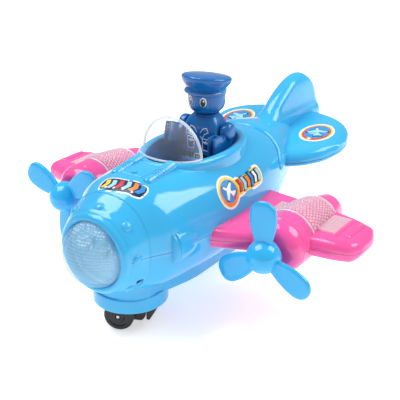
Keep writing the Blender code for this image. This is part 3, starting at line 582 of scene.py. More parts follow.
def make_fuselage():
    upper = piece("shell_upper", pod_half(1), SKY, stands_for=["fuselage_upper"])
    hole = rings([cockpit_ring(1.2, 60.0), cockpit_ring(1.2, 95.0)])
    cut(upper, hole)
    lower = piece("shell_lower", pod_half(-1), SKY, stands_for=["fuselage_lower"])
    holes = [mirrored(lathe([(2.5, 25.0), (2.5, 41.0)], (21.2, -18.6, 0), steps=32), side)
             for _, side in SIDES]
    pan_room = rings([[(x, y, z) for x, y in pan_plan(2.4)] for z in (10.0, 42.0)])
    cut(lower, pan_room, *holes)

    lip = [(-0.3, 79.0), (-0.3, 87.4), (0.2, 88.5), (1.3, 89.2), (2.6, 89.3), (3.8, 88.8),
           (4.7, 87.6), (5.1, 85.8), (5.2, 79.0)]
    loops = [cockpit_ring(grow, z) for grow, z in soften(lip, 0.6, 3)]
    piece("cockpit_lip", rings(loops + [loops[0]], caps=False), SKY)

    bezel = [(18.4, -28.4), (18.5, -29.6), (19.1, -30.5), (20.1, -30.9), (21.4, -30.5),
             (22.5, -29.3), (23.1, -27.6), (23.2, -26.0), (20.0, -25.0)]
    piece("nose_bezel", lathe(soften(bezel, 0.5, 3), (0, 0, SEAM_Z), "y", 96, wrap=True), SKY)
    piece("nose_rivets", merge(*[rivet(-22.9, a) for a in np.radians(
        (1.5, 45, 90, 135, 178.5, -45, -90, -135))]), SKY)
    panel = oblong(-7.4, 7.4, 3.6, 22.0, 1.2)
    panel_y = 12.8
    loops = [[top_point(x, y, lift) for x, y in inset(panel, by)]
             for by, lift in ((0.0, -0.3), (0.0, 0.35), (0.3, 0.55), (0.9, 0.6), (1.2, 0.3))]
    for share in (0.8, 0.6, 0.4, 0.2, 0.02):
        loops.append([top_point(x * share, panel_y + (y - panel_y) * share, 0.3)
                      for x, y in inset(panel, 1.2)])
    stud = [[top_point(r * math.cos(a), 6.6 + r * math.sin(a), lift)
             for a in np.arange(24) * math.pi / 12]
            for r, lift in ((1.5, 0.1), (1.5, 0.75), (1.2, 0.95), (0.6, 0.9), (0.01, 0.9))]
    piece("deck_details", merge(rings(loops), rings(stud), hinge_bar(1), hinge_bar(-1)), SKY)
    piece("side_scoops", merge(scoop(1), scoop(-1)), SKY)


# ---------------------------------------------------------------- belly and skirt

REAR_AXLE_Y = 108.0
PAN_END = 24.0                  # how far the belly pan's round rear end reaches


def pan_plan(by):
    """Plan of the belly pan: round the swivel at the front, straight-sided, round behind."""
    front, half, rear = 20.4 - by, 26.0 - by, 122.0 - by
    flank = soften([(front, 0.0), (front, 2.0), (half, 26.0), (half, rear - PAN_END)], 7.0, 6)
    points = [(front * math.cos(a), front * math.sin(a))
              for a in np.linspace(math.radians(200), math.radians(340), 33)]
    points += flank[1:-1]
    points += [(half * math.cos(a), rear - PAN_END + PAN_END * math.sin(a))
               for a in np.linspace(0, math.pi, 33)]
    return points + [(-x, y) for x, y in flank[-2:0:-1]]


def make_belly():
    floor = pillow(pan_plan(0.0), 22.0, 40.0, 1.4, ends=(True, False))
    pan = piece("belly_moulding", floor, SKY, stands_for=["belly_pan"])
    lo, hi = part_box("battery_door")
    x1, y0, y1 = hi.x / MM + 0.35, lo.y / MM + MID_Y - 0.35, hi.y / MM + MID_Y + 0.35
    recess = rings([[(x, y, z) for x, y in oblong(-x1, x1, y0, y1, 2.2)] for z in (10.0, 23.9)])
    swivel = lathe([(7.8, 10.0), (7.8, 39.0)], steps=48)
    switch = rings([[(x, y, z) for x, y in oblong(12.8, 21.2, 21.8, 32.2, 1.0)]
                    for z in (10.0, 23.4)])
    cut(pan, recess, swivel, switch)

    skirt = [(19.5, 15.9), (19.9, 15.35), (20.8, 15.3), (21.3, 15.7), (21.4, 16.6), (21.4, 23.0),
             (21.1, 23.8), (20.3, 24.1), (19.4, 24.1), (19.4, 17.0)]
    neck = []
    for grow, z in ((0.6, 23.6), (0.25, 24.0), (0.05, 24.6), (0.0, 26.0), (0.0, 33.0)):
        neck.append([((20.7 - 0.9 * math.cos(4 * a) + grow) * math.cos(a),
                      (20.7 - 0.9 * math.cos(4 * a) + grow) * math.sin(a), z)
                     for a in np.arange(120) * math.pi / 60])
    inner = [(19.4 * math.cos(a), 19.4 * math.sin(a)) for a in np.arange(120) * math.pi / 60]
    neck += [[(x, y, z) for x, y in inner] for z in (33.0, 23.6)]
    piece("swivel_skirt", merge(lathe(soften(skirt, 0.4, 3, True), steps=96, wrap=True),
                                rings(neck + [neck[0]], caps=False)), SKY)
    struts = []
    for x in (-13.0, 13.0):
        outline = soften([(103.5, 23.0), (103.5, 8.0), (105.0, 4.6), (111.0, 4.6), (112.5, 8.0),
                          (112.5, 23.0)], 1.6, 4)
        struts.append(pillow(outline, x - 1.6, x + 1.6, 0.5, "x"))
        for y0 in (99.5, 112.5):
            struts.append(box(x - 0.5, x + 0.5, y0, y0 + 4.0, 15.0, 22.5))
    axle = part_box("rear_axle")
    centre = (0, REAR_AXLE_Y, (axle[0].z + axle[1].z) / 2 / MM)
    brackets = piece("wheel_struts", merge(*struts), SKY)
    cut(brackets, lathe([(1.75, -17.0), (1.75, 17.0)], centre, "x", 24))

    door = pillow(oblong(-x1 + 0.35, x1 - 0.35, y0 + 0.35, y1 - 0.35, 2.0), 22.0, 23.75, 0.35)
    hatch = piece("battery_hatch", door, SKY, stands_for=["battery_door"])
    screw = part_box("battery_door_screw")
    screw_y = (screw[0].y + screw[1].y) / 2 / MM
    well = lathe([(3.3, 20.0), (3.3, 23.0)], (0, screw_y + MID_Y, 0), steps=32)
    grips = [box(-9.0, 9.0, y0 + 6.0 + 2.4 * k, y0 + 6.9 + 2.4 * k, 20.0, 22.5)
             for k in range(4)]
    cut(hatch, well, *grips)


# ---------------------------------------------------------------- nose lamp

LAMP_X, LAMP_Z = 6.5, SEAM_Z + 4.0


def make_nose():
    profile = [(0.0, -44.0), (2.5, -43.85), (5.0, -43.4), (7.5, -42.5), (10.0, -41.2),
               (12.2, -39.7), (14.0, -38.0), (15.6, -36.0), (16.8, -34.0), (17.7, -31.8),
               (18.2, -29.6), (18.3, -27.4)]
    pts = np.array(profile)
    lengths = np.concatenate([[0], np.cumsum(np.linalg.norm(np.diff(pts, axis=0), axis=1))])
    reach = lengths[-1]

    def place(u, v, lift):
        s = math.hypot(u, v)
        r, y = np.interp(s, lengths, pts[:, 0]), np.interp(s, lengths, pts[:, 1])
        r2, y2 = (np.interp(s + 0.4, lengths, pts[:, 0]), np.interp(s + 0.4, lengths, pts[:, 1]))
        r1, y1 = (np.interp(max(s - 0.4, 0), lengths, pts[:, 0]),
                  np.interp(max(s - 0.4, 0), lengths, pts[:, 1]))
        out, ahead = (y2 - y1), -(r2 - r1)
        size = math.hypot(out, ahead)
        r, y = r + lift * out / size, y + lift * ahead / size
        c, d = (u / s, v / s) if s > 1e-6 else (0.0, 0.0)
        return (max(r, 0.0) * c, y, SEAM_Z + max(r, 0.0) * d)

    def clamp(u, v):
        s = math.hypot(u, v)
        return (u, v) if s <= reach else (u * reach / s, v * reach / s)

    pitch = 1.9                 # of the lens's small pyramids
    count = int(reach / pitch) + 1
    cells = [(i, j) for i in range(-count, count) for j in range(-count, count)
             if math.hypot(i + 0.5, j + 0.5) * pitch < reach + 0.4]
    piece("headlamp_lens", facet_sheet(place, cells, pitch, 0.34, 1.3, clamp), LENS,
          stands_for=["nose_lens"], sharp=4.0)
    centre = (0, 0, SEAM_Z)
    dish = [(0.0, -22.8), (19.4, -22.8), (19.4, -26.4), (18.0, -26.6), (16.8, -24.6),
            (0.0, -24.4)]
    cups = []
    for _, side in SIDES:
        cup = [(1.9, -24.0), (2.4, -25.4), (4.6, -28.6), (5.2, -28.8), (5.4, -28.2), (3.4, -24.0)]
        cups.append(lathe(soften(cup, 0.3, 3, True), (side * LAMP_X, 0, LAMP_Z), "y", 40,
                          wrap=True))
    piece("headlamp_reflector", merge(lathe(soften(dish, 0.4, 3), centre, "y", 72), *cups), FROST,
          stands_for=["nose_reflector"])
    for label, side in SIDES:
        bulb = [(0.0, -31.2), (0.8, -31.0), (1.3, -30.3), (1.5, -29.2), (1.5, -24.5),
                (1.8, -24.3), (1.8, -23.6), (1.5, -23.4), (1.5, -19.0), (0.0, -19.0)]
        piece(f"headlamp_bulb_{label}", lathe(bulb, (side * LAMP_X, 0, LAMP_Z), "y", 28), LAMP,
              stands_for=[f"nose_lamp_{label}"])


# ---------------------------------------------------------------- cockpit

SCREEN_Y, SCREEN_LONG = 26.5, 14.5      # the windscreen's front and its length
SCREEN_Z = 89.0


def screen_share(t):
    """Share of the windscreen's full section, t of the way from its front to its rim."""
    return math.sqrt(max(1 - (1 - t) ** 2 * 0.985, 0.0))


def make_cockpit():
    bowl = [(-0.5, 88.2), (-1.2, 80.0), (-1.9, 72.0), (-3.2, 68.4), (-5.6, 66.4), (-8.0, 66.0)]
    loops = [cockpit_ring(grow, z) for grow, z in soften(bowl, 2.0, 4)]
    under = [cockpit_ring(grow, z - 1.4) for grow, z in ((-8.0, 66.0), (-4.4, 66.6))]
    rim = [cockpit_ring(0.4, 72.0), cockpit_ring(0.5, 87.6)]
    tub = rings(loops + under + rim + [loops[0]], caps=False)
    plug = pillow([(x, y) for x, y, _ in cockpit_ring(-7.4, 0.0, 64)], 64.7, 66.15, 0.2)
    piece("cockpit_liner", merge(tub, plug), NAVY_DEEP,
          stands_for=["cockpit_tub"], sharp=50.0)

    loops_out, loops_in = [], []
    for t in np.linspace(0, 1, 25):
        y = SCREEN_Y + SCREEN_LONG * t
        scale = screen_share(t)
        for grow, store in ((0.0, loops_out), (-1.0, loops_in)):
            store.append([((20.6 + grow) * scale * math.cos(a), y - grow * (1 - t) * 0.9,
                           SCREEN_Z + (21.5 + grow) * scale * math.sin(a))
                          for a in np.linspace(0, math.pi, 49)])
    shell = rings([o + i[::-1] for o, i in zip(loops_out, loops_in)])
    piece("windscreen_shell", shell, CLEAR, stands_for=["windscreen"],
          sharp=50.0)
    arch = [(20.2 * math.cos(a), 41.1, SCREEN_Z + 21.0 * math.sin(a))
            for a in np.linspace(0, math.pi, 61)]
    bead = soften([(-0.8, -0.6), (0.8, -0.6), (0.8, 0.6), (-0.8, 0.6)], 0.4, 3, True)
    piece("windscreen_rim", sweep(arch, bead, up=(0, 1, 0)), CLEAR_RIM)
    foot = [(20.3 * screen_share(t), SCREEN_Y + SCREEN_LONG * t, 89.3)
            for t in np.linspace(1, 0, 30)]
    foot += [(-x, y, z) for x, y, z in foot[::-1]]
    piece("windscreen_foot", sweep(foot, circle(0.7, 12)), CLEAR_RIM)


# ---------------------------------------------------------------- pilot

PILOT_Y = 76.0
HEAD_Z = 104.6
ARM_X, ARM_Z = 15.2, 95.0
ARM_LIFT = {1: 0.0, -1: 16.0}   # degrees each arm is raised at rest, by side
TORSO_EDGE = 3.4                # radius of the torso's upright corners
# rows: z, half width, reach to the front, reach to the rear
TORSO = [(75.8, 12.0, 8.8, 7.8), (84.0, 12.0, 8.6, 7.6), (93.0, 11.8, 8.4, 7.4),
         (98.0, 11.3, 8.0, 7.1), (101.2, 9.8, 7.0, 6.4), (103.2, 8.2, 6.0, 5.8),
         (104.4, 6.8, 5.2, 5.2)]
torso_half, torso_front, torso_rear = (curve(TORSO, column) for column in (1, 2, 3))


def torso_point(x, z, lift):
    """A point on the front of the torso."""
    half, front = torso_half(z), torso_front(z)
    edge = max(0.0, (abs(x) - (half - TORSO_EDGE)) / TORSO_EDGE)
    bulge = front - TORSO_EDGE * (1 - math.sqrt(max(1 - min(edge, 1.0) ** 2, 0.0)))
    return (x, PILOT_Y - bulge - lift, z)


head_radius = curve([(HEAD_Z + 0.3, 5.6), (HEAD_Z + 0.8, 7.4), (HEAD_Z + 1.9, 9.1),
                     (HEAD_Z + 3.6, 10.4), (HEAD_Z + 6.0, 11.0), (HEAD_Z + 9.0, 11.25),
                     (HEAD_Z + 13.0, 11.1), (HEAD_Z + 15.4, 11.0)], 1)


def head_point(u, z, lift):
    """A point on the front of the head; u is the distance round it."""
    r = head_radius(z)
    a = u / 11.2
    return ((r + lift) * math.sin(a), PILOT_Y - (r + lift) * math.cos(a), z)


def print_patch(place, outline, lift, rings_in=5):
    """A thin printed layer that follows a surface: place(u, v, lift) lays out the outline."""
    pts = np.array(outline, float)
    middle = pts.mean(0)
    loops = [[place(u, v, -0.25) for u, v in pts]]
    loops.append([place(u, v, lift) for u, v in pts])
    for k in range(1, rings_in):
        loops.append([place(u, v, lift) for u, v in middle + (pts - middle) * (1 - k / rings_in)])
    loops.append([place(u, v, lift) for u, v in middle + (pts - middle) * 0.01])
    return rings(loops)


def stroke(place, points, width, lift, closed=False):
    """A printed line of even width that follows a surface."""
    line = np.array(points, float)
    if closed:
        line = np.vstack([line, line[:1]])
    fine = [line[0]]
    for a, b in zip(line[:-1], line[1:]):
        count = max(int(np.linalg.norm(b - a) / 0.8), 1)
        fine += [a + (b - a) * k / count for k in range(1, count + 1)]
    fine = np.array(fine)
    along = np.gradient(fine, axis=0)
    along /= np.maximum(np.linalg.norm(along, axis=1, keepdims=True), 1e-9)
    side = np.stack([-along[:, 1], along[:, 0]], 1) * width / 2
    loops = []
    for p, s in zip(fine, side):
        loops.append([place(*(p - s), -0.2), place(*(p + s), -0.2), place(*(p + s), lift),
                      place(*(p - s), lift)])
    return rings(loops)


def oval(u, v, a, b, steps=28):
    return [(u + a * math.cos(t), v + b * math.sin(t)) for t in
            np.arange(steps) * 2 * math.pi / steps]


def make_figure():
    loops = []
    for z in np.concatenate([np.linspace(75.8, 98, 12), np.linspace(99, 104.4, 9)]):
        outline = oblong(-torso_half(z), torso_half(z), PILOT_Y - torso_front(z),
                         PILOT_Y + torso_rear(z), TORSO_EDGE)
        loops.append([(x, y, z) for x, y in outline])
    collar = [(0.0, 103.8), (7.4, 103.8), (7.7, 104.2), (7.2, 104.6), (0.0, 104.6)]
    hips = pillow(oblong(-11.0, 11.0, PILOT_Y - 12.0, PILOT_Y + 6.5, 2.6), 66.2, 78.0, 1.4)
    placket = print_patch(torso_point, [(-1.1, 80.2), (1.1, 80.2), (1.1, 96.4), (0, 98.0),
                                        (-1.1, 96.4)], 0.35)
    belt = []
    for z, grow in ((79.6, 0.0), (79.7, 0.5), (82.9, 0.5), (83.0, 0.0)):
        outline = oblong(-torso_half(z) - grow, torso_half(z) + grow,
                         PILOT_Y - torso_front(z) - grow, PILOT_Y + torso_rear(z) + grow, 3.6)
        belt.append([(x, y, z - 2.2) for x, y in outline])
    body = merge(rings(loops), lathe(collar, (0, PILOT_Y, 0), steps=48), hips, placket)
    piece("figure_torso", body, NAVY, stands_for=["pilot_body"],
          sharp=50.0)
    piece("figure_belt", rings(belt), BLACK)

    lines, darks = [], []
    for side in (1, -1):
        lapel = [(side * 0.3, 92.6), (side * 3.0, 96.4), (side * 5.6, 97.4), (side * 6.8, 94.6),
                 (side * 4.2, 93.4), (side * 2.6, 90.2), (side * 0.3, 92.6)]
        lines.append(stroke(torso_point, lapel, 0.38, 0.16))
        pocket = oblong(*sorted((side * 3.0, side * 7.8)), 83.4, 88.4, 0.7, 3)
        flap = [(side * 2.8, 90.4), (side * 8.0, 90.4), (side * 8.0, 88.8), (side * 5.4, 87.6),
                (side * 2.8, 88.8)]
        lines.append(stroke(torso_point, pocket, 0.4, 0.16, True))
        lines.append(stroke(torso_point, flap, 0.4, 0.18, True))
        lines.append(print_patch(torso_point, oval(side * 5.4, 88.9, 0.45, 0.45, 12), 0.24, 2))
        darks.append(print_patch(torso_point, oblong(*sorted((side * 4.5, side * 6.3)), 84.0,
                                                     87.2, 0.4, 3), 0.14, 3))
    buckle = oblong(-2.4, 2.4, 77.0, 80.6, 0.6, 3)

    def belt_point(x, z, lift):
        return torso_point(x, z, lift + 0.55)

    lines.append(stroke(belt_point, buckle, 0.45, 0.2, True))
    lines.append(stroke(belt_point, [(-0.9, 78.8), (0.9, 78.8)], 0.4, 0.2))
    badge = [(-7.4, 92.0), (-5.6, 91.2), (-3.9, 92.0), (-4.2, 94.4), (-5.6, 95.4), (-7.1, 94.4)]
    piece("figure_print_white", merge(*lines), WHITE_INK)
    piece("figure_print_dark", merge(*darks), DARK_INK)
    piece("figure_badge", print_patch(torso_point, badge, 0.15), PALE_INK)


def make_head():
    heights = np.concatenate([HEAD_Z + np.array([0.3, 0.5, 0.8, 1.2, 1.9, 2.6, 3.6, 4.8]),
                              np.linspace(HEAD_Z + 6, HEAD_Z + 15.4, 9)])
    skull = [(0.0, HEAD_Z + 0.3)] + [(head_radius(z), z) for z in heights] + [(0.0, HEAD_Z + 15.4)]
    nose = rings([[(r * math.cos(a), PILOT_Y - 11.15 - d, 111.6 + 0.9 * r * math.sin(a))
                   for a in np.arange(16) * math.pi / 8]
                  for r, d in ((0.9, -0.4), (0.85, 0.1), (0.6, 0.4), (0.3, 0.55), (0.01, 0.6))])
    piece("figure_head", merge(lathe(skull, (0, PILOT_Y, 0), steps=72), nose),
          NAVY, "pilot_head", ["pilot_head"], sharp=50.0)

    whites, blacks, glints = [], [], []
    for side in (1, -1):
        whites.append(print_patch(head_point, oval(side * 4.65, 113.4, 2.0, 2.9), 0.08))
        blacks.append(print_patch(head_point, oval(side * 4.5, 113.0, 1.5, 2.4), 0.14))
        glints.append(print_patch(head_point, oval(side * 4.5 + 0.45, 114.1, 0.5, 0.65, 12), 0.2,
                                  2))
        brow = [(side * 2.8, 116.5), (side * 4.4, 117.1), (side * 6.2, 116.6)]
        blacks.append(stroke(head_point, brow, 0.6, 0.14))
    blacks.append(stroke(head_point, [(u, 108.3 + 0.045 * u * u) for u in
                                      np.linspace(-2.4, 2.4, 7)], 0.38, 0.14))
    for name, shapes, mat in (("figure_eye_white", whites, WHITE_INK),
                              ("figure_face_black", blacks, BLACK_INK),
                              ("figure_eye_glint", glints, WHITE_INK)):
        piece(name, merge(*shapes), mat, "pilot_head")

    top = 119.6
    cap = [(0.0, top - 3.2), (11.6, top - 3.2), (11.9, top - 2.8), (11.9, top - 0.6),
           (11.7, top - 0.1), (12.1, top + 0.6), (14.0, top + 3.0), (14.9, top + 4.8),
           (15.0, top + 6.0), (14.4, top + 7.0), (13.0, top + 7.5), (8.0, top + 8.0),
           (0.0, top + 8.2)]
    slope = math.tan(math.radians(8.0))
    verts, faces = lathe(soften(cap, 0.7, 4), (0, PILOT_Y, 0), steps=80)
    verts = [(x, y, z + (PILOT_Y - y) * slope * min(max((z - top) / 6.0, 0.0), 1.0))
             for x, y, z in verts]
    visor = []
    for t in np.linspace(0, math.pi, 33):
        reach = 1.9 * math.sin(t) ** 0.8
        c, s = math.cos(t), math.sin(t)
        inner, outer = 11.4, 12.0 + reach
        drop = 0.5 * math.sin(t)
        section = ((inner, 0.2, 0.4), (inner, 0.2, -0.5), (outer - 0.3, 1.0, -0.45),
                   (outer, 1.0, 0.0), (outer - 0.3, 1.0, 0.45))
        visor.append([(r * c, PILOT_Y - r * s - 0.2, top - 0.9 - drop * k + dz)
                      for r, k, dz in section])
    piece("figure_cap", merge((verts, faces), rings(visor)), NAVY,
          "pilot_head", ["pilot_cap"], sharp=40.0)


def make_arms():
    x, z = ARM_X, ARM_Z
    for label, side in SIDES:
        def lift(shape):
            return turned(mirrored(shape, side), -ARM_LIFT[side], (side * x, PILOT_Y, z), "X")

        disc = [(0.0, x - 2.5), (5.0, x - 2.5), (5.6, x - 1.8), (5.6, x + 0.8), (5.2, x + 2.0),
                (4.2, x + 2.9), (2.6, x + 3.4), (0.0, x + 3.6)]
        shoulder = lathe(soften(disc, 0.8, 4), (0, PILOT_Y, z), "x", 48)
        outline = soften([(2.0, -12.0), (2.6, -9.0), (4.9, -3.0), (4.2, 3.4), (0.0, 5.3),
                          (-4.2, 3.4), (-6.5, -3.2), (-11.0, -4.0), (-11.0, -10.6),
                          (-3.0, -12.4)], 2.4, 5, True)
        sleeve = pillow([(PILOT_Y + y, z + up) for y, up in outline], x - 2.3, x + 1.4, 0.9, "x")
        hand = pillow(oblong(x - 2.9, x + 2.9, PILOT_Y - 18.0, PILOT_Y - 10.4, 1.2), z - 10.9,
                      z + 0.5, 0.5)
        grip = rings([[(a, b, c) for a, b in oblong(x - 1.5, x + 1.5, PILOT_Y - 24.0,
                                                    PILOT_Y - 12.0, 1.2)]
                      for c in (z - 16.0, z + 6.0)])
        piece(f"figure_arm_{label}", lift(merge(shoulder, sleeve)), NAVY, f"pilot_arm_{label}",
              [f"pilot_arm_{label}"], sharp=45.0)
        fist = piece(f"figure_hand_{label}", lift(hand), NAVY, f"pilot_arm_{label}")
        cut(fist, lift(grip))


# ---------------------------------------------------------------- wings

WING_Z, WING_HALF = 50.2, 6.2
WING_NOSE = 6.5                 # how far the wing's rounded edges reach in from its outline
# rows: x, front edge y, rear edge y
WING_PLAN = [(30.0, 22.5, 99.0), (55.0, 33.0, 95.5), (86.0, 47.0, 90.5), (104.0, 50.5, 84.5),
             (110.0, 53.5, 80.5), (113.0, 61.0, 72.0)]
NACELLE_X = 71.3
NACELLE = [(41.5, 15.7), (50.0, 16.0), (66.0, 15.1), (84.0, 13.0), (96.0, 10.6), (101.5, 8.9),
           (103.5, 6.8)]
wing_front, wing_rear = curve(WING_PLAN, 1), curve(WING_PLAN, 2)
nacelle_radius = curve(NACELLE, 1)


def wing_half(sign, gap=0.12):
    loops = []
    stations = list(np.linspace(29.0, 103.0, 24))
    stations += [105.5, 107.5, 109.0, 110.2, 111.2, 111.9, 112.35]
    for x in stations:
        tip = max(0.0, (x - 103.5) / 9.0)
        thick = WING_HALF * math.sqrt(max(1 - tip ** 2.4, 0.012))
        y0, y1 = wing_front(max(x, 30.0)), wing_rear(max(x, 30.0))
        mid, half = (y0 + y1) / 2, (y1 - y0) / 2
        loop = []
        for k in range(41):
            y, z = slab(math.pi * k / 40, half, thick, WING_NOSE, 2.3)
            loop.append((x, mid + y, WING_Z + sign * (z + gap)))
        loops.append(loop)
    return rings(loops)


def nacelle_half(sign, gap=0.12):
    first = NACELLE[0][0] + 0.12
    profile = [(0.02, first), (nacelle_radius(first) - 0.5, first), (nacelle_radius(42.1), 42.1)]
    profile += [(nacelle_radius(y), y) for y in np.linspace(43.0, 99.5, 22)]
    profile += [(9.1, 100.8), (8.6, 102.0), (7.7, 103.0), (6.3, 103.7), (4.4, 104.0),
                (0.02, 104.15)]
    loops = []
    for a in np.linspace(0, math.pi, 49):
        loops.append([(NACELLE_X + r * math.cos(a), y, WING_Z + sign * (r * math.sin(a) + gap))
                      for r, y in profile])
    return rings(loops)


def make_wings():
    for label, side in SIDES:
        for half, sign in (("upper", 1), ("lower", -1)):
            parts = [wing_half(sign), nacelle_half(sign)]
            if sign > 0:
                bar = [(t, 2.1 * math.sqrt(max(1 - (1 - t / 0.1) ** 2, 0)) + 0.01)
                       for t in np.linspace(0, 0.1, 6)]
                bar += [(1 - t, r) for t, r in bar[::-1]]
                shape = ridge((103.0, 58.2, 55.2), (103.8, 79.5, 55.2), bar, 24)
                parts.append(([(x, y, 55.2 + (z - 55.2) * 1.15) for x, y, z in shape[0]],
                              shape[1]))
                for x0, x1 in ((49.6, 50.4), (97.0, 97.8)):
                    parts.append(pillow(oblong(x0, x1, 57.0, 81.5, 0.35), 54.0, 56.9, 0.3))
            piece(f"wing_{half}_{label}", mirrored(merge(*parts), side), PINK,
                  stands_for=[f"wing_{label}_{half}"], sharp=42.0)
        cap = [(1.9, 36.0), (1.9, 33.0), (6.0, 32.75), (10.2, 32.9), (11.6, 33.3), (13.4, 35.0),
               (14.7, 36.9), (15.4, 39.0), (15.75, 41.0), (15.6, 41.25), (14.8, 41.3),
               (12.0, 37.5)]
        ring = lathe(soften(cap, 0.8, 4, True), (NACELLE_X, 0, WING_Z), "y", 80, wrap=True)
        piece(f"engine_cap_{label}", mirrored(ring, side), PINK,
              stands_for=[f"nacelle_cap_{label}"], sharp=45.0)
        make_wing_lens(label, side)


def make_wing_lens(label, side):
    """The clear ribbed panel over a nacelle: an arch of small pyramids and two flat ears."""
    def arch(u, v, lift):
        y = 53.0 + v
        r = nacelle_radius(y) + 0.4 + lift
        a = math.pi / 2 + u / 16.0
        return (side * (NACELLE_X + r * math.cos(a)), y, WING_Z + r * math.sin(a))

    def ear(u, v, lift):
        return (side * u, 58.0 + v, WING_Z + WING_HALF + 1.0 + lift)

    pitch = 2.0
    half = math.radians(66.0) * 16.0
    count = int(half / pitch)
    cells = [(i, j) for i in range(-count, count) for j in range(16)]
    shapes = [facet_sheet(arch, cells, pitch, 0.75, 0.8)]
    for low, high in ((51.0, 58.0), (85.0, 96.0)):
        cells = [(i, j) for i in range(int(low), int(high)) for j in range(15)]
        shapes.append(facet_sheet(lambda u, v, lift: ear(u, v * 1.5, lift), cells, 1.0, 0.3, 0.7))
    shapes = [(v, [f[::side] for f in faces]) for v, faces in shapes]
    piece(f"engine_lens_{label}", merge(*shapes), WING_LENS,
          stands_for=[f"wing_lens_{label}"], sharp=4.0)
    dashes = []
    for row in range(1, 15):
        for col in range(-8, 8):
            u = (col + 0.5 * (row % 2)) * 2.2 + 0.3
            if abs(u) > half - 2.0:
                continue
            dash = ((u - 0.7, -0.2), (u + 0.7, -0.2), (u + 0.7, 0.2), (u - 0.7, 0.2))
            dashes.append(rings([[arch(a, row * 2.15 + b, up) for a, b in dash]
                                 for up in (0.1, 0.95)]))
    for x0, x1 in ((51.2, 57.4), (85.4, 95.4)):
        for row in range(13):
            y = 59.4 + 1.65 * row
            dashes.append(mirrored(box(x0, x1, y - 0.16, y + 0.16, WING_Z + WING_HALF + 0.9,
                                       WING_Z + WING_HALF + 1.35), side))
    piece(f"engine_lens_ridges_{label}", merge(*dashes), RIDGE)
    rim = []
    for v in (-0.2, 32.2):
        rim.append(sweep([arch(u, v, -0.1) for u in np.linspace(-half - 0.2, half + 0.2, 41)],
                         circle(0.65, 10), up=(0, 1, 0)))
    piece(f"engine_lens_rim_{label}", merge(*rim), CLEAR_RIM)


# ---------------------------------------------------------------- propellers

PROP_Y = 24.9
PROP_TURN = {1: 92.0, -1: 35.0}  # degrees each propeller stands turned at rest, by side
BLADE_PITCH = 6.0


def blade():
    """One paddle along +X: a narrow root, a full round end and softly pillowed faces."""
    half = curve([(5.0, 4.2), (9.0, 5.0), (13.0, 6.3), (18.0, 7.4), (22.0, 7.7), (25.0, 7.6)], 1)
    loops = []
    stations = list(np.linspace(5.0, 23.0, 13))
    stations += [25.0, 26.8, 28.3, 29.5, 30.4, 31.1, 31.5, 31.75]
    for x in stations:
        wide = half(x)
        if x > 24.2:
            wide = 7.65 * math.sqrt(max(1 - ((x - 24.2) / 7.6) ** 2, 0.0004))
        end = max(0.0, (x - 26.0) / 5.8)
        thick = 1.8 * math.sqrt(max(1 - end ** 3, 0.02))
        loops.append([(x, b, a) for a, b in (superellipse(t, wide, thick, 3.6)
                                             for t in np.arange(44) * math.pi / 22)])
    return turned(rings(loops), BLADE_PITCH, (0, 0, 0), "X")


def make_propellers():
    hub_r = 9.4
    for label, side in SIDES:
        centre = (side * NACELLE_X, PROP_Y, WING_Z)
        hub = [(hub_r * math.sin(a), -hub_r * math.cos(a))
               for a in np.radians(np.arange(0, 96, 5))]
        hub += [(9.3, 3.0), (9.0, 3.8), (8.4, 4.0), (3.0, 4.0), (2.9, 3.0), (2.0, 3.0),
                (1.95, -4.0), (0.0, -4.0)]
        blades = []
        for k in range(3):
            verts, faces = blade()
            verts = [(x + centre[0], y + centre[1], z + centre[2]) for x, y, z in verts]
            blades.append(turned((verts, faces), -(PROP_TURN[side] + 120 * k), centre, "Y"))
        piece(f"prop_{label}", merge(lathe(hub, centre, "y", 72), *blades), SKY_BRIGHT,
              f"propeller_{label}", [f"propeller_{label}"], sharp=40.0)


# ---------------------------------------------------------------- tail

# rows: z, front y, rear y, half thickness
FIN = [(60.0, 128.0, 214.0, 6.6), (64.0, 130.0, 215.0, 6.6), (70.0, 133.5, 213.6, 6.6),
       (76.0, 138.0, 212.4, 6.6), (84.0, 147.0, 210.8, 6.6), (90.0, 154.0, 208.2, 6.5),
       (95.0, 161.4, 204.4, 6.2), (99.0, 168.6, 199.6, 5.6), (101.2, 173.2, 196.0, 4.8),
       (102.6, 176.8, 193.0, 3.8), (103.5, 179.6, 190.4, 2.6), (103.95, 182.2, 188.0, 1.3)]
# rows: x, front y, rear y, height above the seam
TAILPLANE = [(0.0, 119.0, 199.5, 6.4), (20.0, 120.5, 196.8, 6.6), (33.0, 125.0, 191.5, 6.6),
             (42.0, 134.0, 184.0, 6.3), (47.5, 143.5, 175.5, 5.4), (50.3, 153.0, 166.5, 3.6)]
TAIL_NOSE = 9.0                 # how far the tail's rounded edges reach in from its outline
plane_front, plane_rear, plane_deep = (curve(TAILPLANE, column) for column in (1, 2, 3))


def plane_height(y):
    """The tailplane's seam rises a little towards the rear."""
    return 62.5 + 8.0 * (y - 119.0) / 81.0


def tailplane(side, low, high, gap=0.0):
    loops = []
    stations = list(np.linspace(0, 42, 16)) + [44.0, 45.8, 47.2, 48.4, 49.3, 49.9, 50.3]
    for x in stations:
        half = (plane_rear(x) - plane_front(x)) / 2
        mid = (plane_rear(x) + plane_front(x)) / 2
        loop = []
        for k in range(41):
            y, z = slab(math.pi * k / 40, half, plane_deep(x), TAIL_NOSE, 2.3)
            z = gap + (high * z if high > 0 else low * z)
            loop.append((side * x, mid + y, plane_height(mid + y) + z))
        loops.append(loop)
    return rings(loops)


def saddle_front(angle):
    """Where the band's front edge lies round the pod: forward at the lobes, back between."""
    rise = math.degrees(min(angle, math.pi - angle))
    return float(np.interp(rise, (8, 20, 34, 52, 72, 90),
                           (113.0, 113.4, 117.6, 118.2, 116.2, 115.2)))


